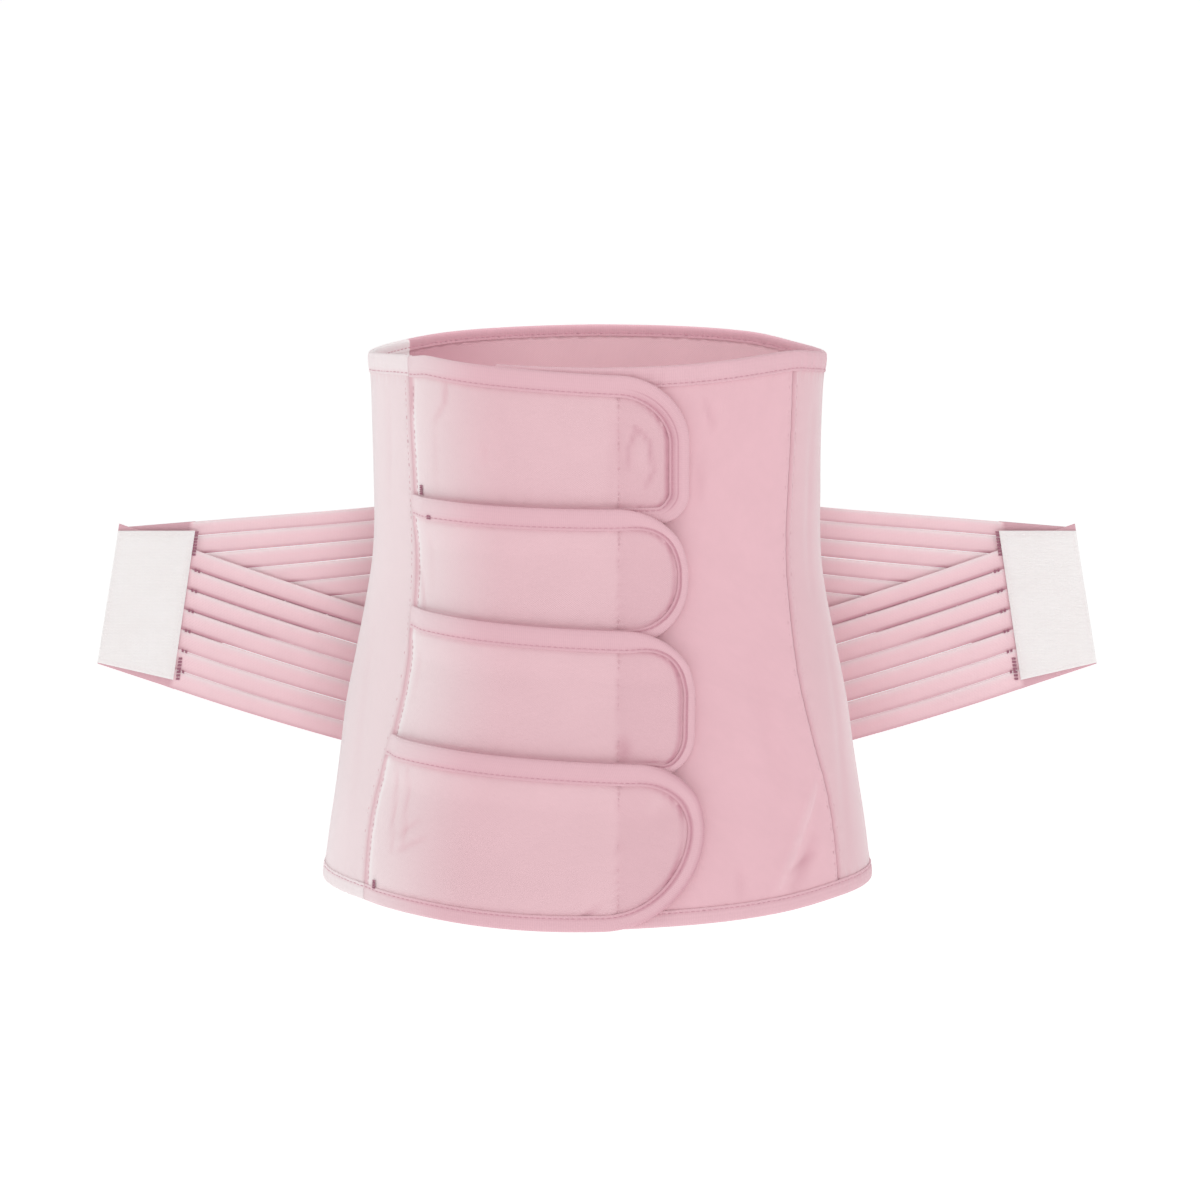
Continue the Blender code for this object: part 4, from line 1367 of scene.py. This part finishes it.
def between_corners(corners, downs, acrosses):
    """Reaches and heights between four corners, at these shares down and across."""
    corners = np.array(corners)
    top = mix(corners[0, 0], corners[0, 1], acrosses[..., None])
    bottom = mix(corners[1, 0], corners[1, 1], acrosses[..., None])
    spots = mix(top, bottom, downs[..., None])
    return spots[..., 0], spots[..., 1]


def add_tip_piece(name, side, corners, near, thickness, facing, look, slot, node):
    """A flat piece at the wing's tip with softly rounded edges."""
    downs, acrosses = edge_steps(40, 0.7)[:, None], edge_steps(24, 0.7)[None, :]
    reach, height = between_corners(corners, downs, acrosses)
    from_ends = np.minimum(downs, 1 - downs) * WING_TIP_SPAN
    to_edge = np.minimum(from_ends, np.minimum(acrosses, 1 - acrosses) * TAB_WIDTH)
    soft = thickness * 0.35 * bell(to_edge, PAD_EDGE_SOFTNESS)
    sewn = thickness * 0.22 * bell(to_edge - PAD_STITCH_INSET, 0.0007)
    gather = pucker_wave(reach + height, to_edge - 0.004) * 0.4
    change = soft + sewn - gather
    front = near + (change if facing < 0 else soft / 2)
    back = near + thickness - (change if facing > 0 else soft / 2)
    shade = PAD_LINE_SHADE * bell(to_edge - PAD_STITCH_INSET, 0.0006)
    faces = [wing_point(side, reach, height, offset) for offset in (front, back)]
    below = ("wing_left_lower_elastic" if side < 0 else "wing_right_lower_elastic",)
    add_wall(name, faces, (reach, height), (shade, shade), look, node)


def add_root_tape(side, side_name):
    """The tape that sews both band roots to the back panel."""
    near = GAP / 2 + BAND_THICKNESS + GAP
    top = -WING_ROOT_TOP + ROOT_TAPE_RISE
    bottom = -WING_ROOT_TOP - WING_ROOT_SPAN - ROOT_TAPE_RISE
    start = WING_ROOT_REACH - WING_ROOT_LAP
    acrosses, downs = edge_steps(10, 0.6), np.linspace(0, 1, 110)
    reach = start + ROOT_TAPE_WIDTH * acrosses[None, :] + 0 * downs[:, None]
    height = mix(top, bottom, downs)[:, None] + 0 * reach
    to_edge = np.minimum(acrosses, 1 - acrosses)[None, :] * ROOT_TAPE_WIDTH
    rise = TAPE_THICKNESS * (1 - 0.5 * bell(to_edge, 0.0006) + 0.5 * bell(to_edge - 0.005, 0.0025))
    rise = rise + pucker_wave(height, to_edge - 0.002) * 0.6
    faces = [wing_point(side, reach, height, offset) for offset in (near, near + rise)]
    shades = (0.0, ROOT_LINE_SHADE * bell(to_edge - STITCH_INSET, 0.0006))
    name, node, below = f"wing_{side_name}_root_cover", f"wing_{side_name}_root_tape", ("back_cloth",)
    add_wall(name, faces, (height, reach), shades, "tape", node)


def add_wings():
    lower_near = -GAP / 2 - BAND_THICKNESS
    upper_near = GAP / 2
    tab_near = upper_near + BAND_THICKNESS + GAP
    pad_near = lower_near - GAP - HOOK_PAD_THICKNESS
    for side, side_name in SIDES:
        wing = "wing_" + side_name
        tab = (tab_corners(), tab_near, TAB_THICKNESS, 1, "knit", "panel_cloth", wing + "_tab")
        pad = (hook_pad_corners(), pad_near, HOOK_PAD_THICKNESS, -1, "hook", "hook_white", wing + "_hook_pad")
        add_band(side, side_name, 0, lower_near, -1)
        add_band(side, side_name, 1, upper_near, 1)
        add_tip_piece(wing + "_tab_cloth", side, *tab)
        add_tip_piece(wing + "_hook_face", side, *pad)
        add_root_tape(side, side_name)


# Stitches


def stitch_shape(line, lifted, length, gap, radius):
    """Points and faces of stitches along a line of points; lifted is the same line, further out."""
    steps = np.linalg.norm(np.diff(line, axis=0), axis=1)
    run = np.r_[0, np.cumsum(steps)]
    count = max(1, int(run[-1] / (length + gap)))
    pitch = run[-1] / count
    starts = (np.arange(count) + 0.5) * pitch

    def at(distance, source):
        return np.stack([np.interp(distance, run, source[:, k]) for k in range(3)], -1)

    ahead = at(starts + length / 2, line) - at(starts - length / 2, line)
    ahead /= np.linalg.norm(ahead, axis=1)[:, None]
    out = at(starts, lifted) - at(starts, line)
    out /= np.linalg.norm(out, axis=1)[:, None]
    aside = np.cross(ahead, out)
    aside /= np.linalg.norm(aside, axis=1)[:, None]
    out = np.cross(aside, ahead)
    turns = (2 * np.pi * np.arange(STITCH_SIDES) / STITCH_SIDES)[None, :, None]
    circle = np.cos(turns) * aside[:, None, :] + np.sin(turns) * out[:, None, :]
    rings = []
    for place, thick, rise in STITCH_RINGS:
        centre = at(starts + place * length, line) + out * rise * radius
        rings.append(centre[:, None, :] + circle * thick * radius)
    points = np.stack(rings, 1)
    per_stitch = len(STITCH_RINGS) * STITCH_SIDES
    index = np.arange(per_stitch).reshape(len(STITCH_RINGS), STITCH_SIDES)
    nearby = np.roll(index, -1, axis=1)
    quads = np.stack((index[:-1], nearby[:-1], nearby[1:], index[1:]), -1).reshape(-1, 4)
    offsets = np.arange(count) * per_stitch
    faces = (quads[None] + offsets[:, None, None]).reshape(-1, 4).tolist()
    for cap in (index[0][::-1], index[-1]):
        faces += (cap[None] + offsets[:, None]).tolist()
    return points.reshape(-1, 3), faces


def add_stitches(name, rows, look="thread", length=None, gap=None, radius=None):
    """One piece of many stitches: rows are pairs of a line and the same line further out."""
    sizes = bpy.context.scene.belt_sizes
    length, gap = length or sizes.stitch_length, gap or sizes.stitch_gap
    points, faces, total = [], [], 0
    for line, lifted in rows:
        some, some_faces = stitch_shape(line, lifted, length, gap, radius or sizes.thread_radius)
        points.append(some)
        faces += [[corner + total for corner in face] for face in some_faces]
        total += len(some)
    points = np.concatenate(points)
    cloth = points[:, [0, 2, 1]]
    add_piece(name, (points, faces), looks()[look], cloth, np.zeros(total))


def row_on(surface, across, height, offset, out=OUTWARDS):
    """A line on a surface and the same line a little further out."""
    return surface(across, height, offset), surface(across, height, offset + out)


def add_edge_stitches():
    groove = PANEL_THICKNESS + TOUCH + TAPE_THICKNESS * GROOVE_SHARE
    under = -TAPE_THICKNESS * 0.85
    edges = (
        ("rim_stitches", rim_height, -1, RIM_BINDING_WIDTH),
        ("hem_stitches", hem_height, 1, HEM_BINDING_WIDTH),
    )
    for name, edge_height, inwards, width in edges:
        rows = []
        for leaf, offset, beyond in ((1.0, groove, OUTWARDS), (INNER_LEAF, under, -OUTWARDS)):
            inset = np.array([[width * leaf - STITCH_INSET]])
            line, _ = edge_tape_points(edge_height, inwards, inset, offset)
            lifted, _ = edge_tape_points(edge_height, inwards, inset, offset + beyond)
            rows.append((line[:, 0], lifted[:, 0]))
        add_stitches(name, rows)


def add_strap_stitches():
    groove = STRAP_THICKNESS + TOUCH + TAPE_THICKNESS * GROOVE_SHARE
    for strap, (name, *_) in enumerate(STRAPS):
        _, _, width, *_ = strap_edge(strap)
        inset = (width - STITCH_INSET)[:, None]
        line = strap_tape_points(strap, inset, groove)[:, 0]
        lifted = strap_tape_points(strap, inset, groove + OUTWARDS)[:, 0]
        top = strap_top(strap, angle_at(HOOK_START, 0.0)) - STRAP_BINDING_WIDTH
        bottom = strap_bottom(strap, angle_at(HOOK_START, 0.0)) + HEM_BINDING_WIDTH
        height = np.linspace(top, bottom, 60)
        swell = bpy.context.scene.belt_sizes.pillow
        depth = STRAP_THICKNESS + swell * 0.9 - HOOK_SEAM_DIP
        surface = partial(strap_point, strap)
        hook_row = row_on(surface, angle_at(HOOK_START, height), height, depth)
        seam = left_seam(height) + angle_of(SEAM_STITCH_INSET, height)
        seam_row = row_on(surface, seam, height, STRAP_THICKNESS + 0.00005)
        add_stitches(name + "_stitches", [(line, lifted)])
        add_stitches(name + "_inner_stitches", [hook_row, seam_row], "soft_thread")


def add_seam_stitches():
    """Two rows beside each upright seam of the body, outside and inside."""
    low = -HEM_DROP + HEM_BINDING_WIDTH + HEM_WAVE
    high = RIM_HEIGHT - RIM_BINDING_WIDTH
    height = np.linspace(low, high, 160)
    aside = angle_of(SEAM_STITCH_INSET, height)
    seams = (
        ("left_front", left_seam(height), (-1,)),
        ("right_front", right_seam(height), (-1, 1)),
        ("left_back", 0 * height - BACK_SEAM_ANGLE, (-1, 1)),
        ("right_back", 0 * height + BACK_SEAM_ANGLE, (-1, 1)),
    )
    face = PANEL_THICKNESS - SEAM_WELT * 0.7
    for name, seam, sides in seams:
        rows = []
        for which in sides:
            angle = seam + which * aside
            rows.append(row_on(body_point, angle, height, face))
            rows.append(row_on(body_point, angle, height, 0.0, -OUTWARDS))
        add_stitches(name + "_seam_stitches", rows, "soft_thread")


def add_bar_tacks():
    """Short dense tacks on the straps, at the places in the table."""
    rows = []
    for strap, across, down, length in TACKS:
        angle, height = strap_spots(strap, np.array([down]), np.array([across]))
        angle, height = float(angle[0, 0]), float(height[0, 0])
        heights = np.linspace(height + length / 2, height - length / 2, 12)
        for shift in np.arange(-2, 3) * TACK_SPACING:
            at = angle + angle_of(shift, heights)
            rows.append(row_on(partial(strap_point, strap), at, heights, STRAP_THICKNESS + TACK_RISE))
    add_stitches("bar_tacks", rows, "tack", length=0.0010, gap=0.0001, radius=0.0003)


def add_wing_stitches():
    """Rows round each pad and tab and down each root tape, and tacks at the pads' inner edges."""
    upper_back = GAP / 2 + BAND_THICKNESS + GAP
    lower_front = -GAP / 2 - BAND_THICKNESS
    pad_face = lower_front - GAP - HOOK_PAD_THICKNESS * 0.8
    for side, side_name in SIDES:
        surface = partial(wing_point, side)
        pad_rows = loop_rows(surface, hook_pad_corners(), pad_face, -OUTWARDS)
        back_rows = loop_rows(surface, tab_corners(), upper_back + TAB_THICKNESS * 0.8, OUTWARDS)
        height = np.linspace(-WING_ROOT_TOP, -WING_ROOT_TOP - WING_ROOT_SPAN, 90)
        for inset in (STITCH_INSET, ROOT_TAPE_WIDTH - STITCH_INSET):
            reach = WING_ROOT_REACH - WING_ROOT_LAP + inset + 0 * height
            back_rows.append(row_on(surface, reach, height, upper_back + TAPE_THICKNESS))
        add_stitches(f"wing_{side_name}_pad_stitches", pad_rows, "pale_thread")
        add_stitches(f"wing_{side_name}_back_stitches", back_rows)
        tacks = pad_tacks(surface, lower_front - 0.0004)
        add_stitches(f"wing_{side_name}_tacks", tacks, "tack", length=0.0016, gap=0.0003, radius=0.00028)


def loop_rows(surface, corners, face, out):
    """Four rows of stitches just inside the edges of a piece at the tip."""
    down, across = PAD_STITCH_INSET / WING_TIP_SPAN, PAD_STITCH_INSET / TAB_WIDTH
    loop = ((down, across), (down, 1 - across), (1 - down, 1 - across), (1 - down, across), (down, across))
    share = np.linspace(0, 1, 30)
    rows = []
    for (down_0, across_0), (down_1, across_1) in zip(loop, loop[1:]):
        spots = between_corners(corners, mix(down_0, down_1, share), mix(across_0, across_1, share))
        rows.append(row_on(surface, *spots, face, out))
    return rows


def pad_tacks(surface, face):
    """Upright tacks near the pad's inner corners, and one across the end of each slit."""
    (top_inner, _), (bottom_inner, _) = tab_corners()
    rows = []
    for share_0, share_1 in ((0.05, 0.20), (0.80, 0.94)):
        for aside in (0.0008, 0.0014, 0.0020, 0.0026):
            share = np.linspace(share_0, share_1, 20)
            reach = mix(top_inner[0], bottom_inner[0], share) - aside
            height = mix(top_inner[1], bottom_inner[1], share)
            rows.append(row_on(surface, reach, height, face, -OUTWARDS))
    strip_ends = band_rows(0)[0].reshape(STRIPS, -1)[:, -1]
    for down in strip_ends[:-1]:
        for drop in (-0.0006, 0.0, 0.0006):
            reach = wing_inner_reach(down) - np.linspace(0.0008, 0.0050, 8)
            rows.append(row_on(surface, reach, band_line(0, down, reach) + drop, face, -OUTWARDS))
    return rows


# Stage


def add_aimed(name, data, spot, target):
    """A light or camera at a spot, turned towards its target."""
    made = bpy.data.objects.new(name, data)
    made.location = spot
    made.rotation_euler = (Vector(target) - Vector(spot)).to_track_quat("-Z", "Y").to_euler()
    bpy.context.scene.collection.objects.link(made)
    return made


def add_lights():
    for name, spot, size, power in LIGHTS:
        data = bpy.data.lights.new(name, "AREA")
        data.shape = "DISK"
        data.size = size
        data.energy = power
        add_aimed(name, data, spot, CAMERA_TARGET)


def add_hollow_spot():
    """A narrow beam from above the rim onto the inner face of the back."""
    data = bpy.data.lights.new("hollow_spot", "SPOT")
    data.energy = 5
    data.spot_size = math.radians(34)
    data.spot_blend = 0.6
    data.shadow_soft_size = 0.06
    add_aimed("hollow_spot", data, (0.0, -0.08, 0.62), (0.0, RIM_HALF_DEPTH, RIM_HEIGHT / 2))


def add_floor():
    bpy.ops.object.select_all(action="DESELECT")
    bpy.ops.mesh.primitive_plane_add(size=FLOOR_SIZE, location=(0, 0, -FLOOR_DEPTH))
    floor = bpy.context.object
    floor.name = "studio_floor"
    bpy.ops.object.transform_apply(location=True, rotation=False, scale=False)
    look = bpy.data.materials.new("pale_floor")
    look.use_nodes = True
    shader = look.node_tree.nodes["Principled BSDF"]
    shader.inputs["Base Color"].default_value = (*bpy.context.scene.belt_colours.floor, 1)
    shader.inputs["Roughness"].default_value = 0.9
    shader.inputs["Specular IOR Level"].default_value = 0.1
    shader.inputs["Emission Color"].default_value = (1, 1, 1, 1)
    shader.inputs["Emission Strength"].default_value = 0.45
    floor.data.materials.append(look)


def add_camera():
    data = bpy.data.cameras.new("photo_camera")
    data.lens = LENS
    data.clip_end = 100
    bpy.context.scene.camera = add_aimed("photo_camera", data, CAMERA_SPOT, CAMERA_TARGET)


def add_world():
    world = bpy.data.worlds.new("soft_studio")
    world.use_nodes = True
    background = world.node_tree.nodes["Background"]
    background.inputs["Color"].default_value = (1.0, 0.985, 0.98, 1)
    background.inputs["Strength"].default_value = 0.6
    bpy.context.scene.world = world
    bpy.context.scene.view_settings.view_transform = "Standard"


# Operators and panel


class BeltOperator:
    bl_options = {"REGISTER", "UNDO"}
    steps = ()

    def execute(self, context):
        for step in self.steps:
            step()
        return {"FINISHED"}


class BELT_OT_panels(BeltOperator, bpy.types.Operator):
    """Add the back, the two sides and the landing panel."""

    bl_idname = "belt.panels"
    bl_label = "Body Panels"
    steps = (add_panels,)


class BELT_OT_edge_tapes(BeltOperator, bpy.types.Operator):
    """Add the folded tape round the rim and the hem."""

    bl_idname = "belt.edge_tapes"
    bl_label = "Rim and Hem Tapes"
    steps = (add_edge_tapes,)


class BELT_OT_straps(BeltOperator, bpy.types.Operator):
    """Add the four closing straps with their tapes and hook pieces."""

    bl_idname = "belt.straps"
    bl_label = "Closing Straps"
    steps = (add_straps,)


class BELT_OT_wings(BeltOperator, bpy.types.Operator):
    """Add the slit bands, tabs, hook pads and root tapes of both wings."""

    bl_idname = "belt.wings"
    bl_label = "Wings"
    steps = (add_wings,)


class BELT_OT_stitches(BeltOperator, bpy.types.Operator):
    """Add the sewing threads of the edges, straps, seams and wings."""

    bl_idname = "belt.stitches"
    bl_label = "Stitches"
    steps = (add_edge_stitches, add_strap_stitches, add_seam_stitches, add_bar_tacks, add_wing_stitches)


class BELT_OT_stage(BeltOperator, bpy.types.Operator):
    """Add the floor, the camera and the studio light."""

    bl_idname = "belt.stage"
    bl_label = "Stage"
    steps = (add_floor, add_camera, add_world, add_lights, add_hollow_spot)


OPERATORS = (
    BELT_OT_panels,
    BELT_OT_edge_tapes,
    BELT_OT_straps,
    BELT_OT_wings,
    BELT_OT_stitches,
    BELT_OT_stage,
)


class BELT_PT_sidebar(bpy.types.Panel):
    """Lists the belt's sizes, colours and operators."""

    bl_idname = "BELT_PT_sidebar"
    bl_label = "Maternity Belt"
    bl_space_type = "VIEW_3D"
    bl_region_type = "UI"
    bl_category = "Belt"

    def draw(self, context):
        for group in (context.scene.belt_sizes, context.scene.belt_colours):
            box = self.layout.box()
            for name in group.__annotations__:
                box.prop(group, name)
        for operator in OPERATORS:
            self.layout.operator(operator.bl_idname)


CLASSES = (BeltSizes, BeltColours, *OPERATORS, BELT_PT_sidebar)


def register():
    for made in CLASSES:
        bpy.utils.register_class(made)
    bpy.types.Scene.belt_sizes = bpy.props.PointerProperty(type=BeltSizes)
    bpy.types.Scene.belt_colours = bpy.props.PointerProperty(type=BeltColours)


def unregister():
    del bpy.types.Scene.belt_colours
    del bpy.types.Scene.belt_sizes
    for made in reversed(CLASSES):
        bpy.utils.unregister_class(made)


def main():
    register()
    bpy.ops.belt.panels()
    bpy.ops.belt.edge_tapes()
    bpy.ops.belt.straps()
    bpy.ops.belt.wings()
    bpy.ops.belt.stitches()
    bpy.ops.belt.stage()


if __name__ == "__main__":
    main()
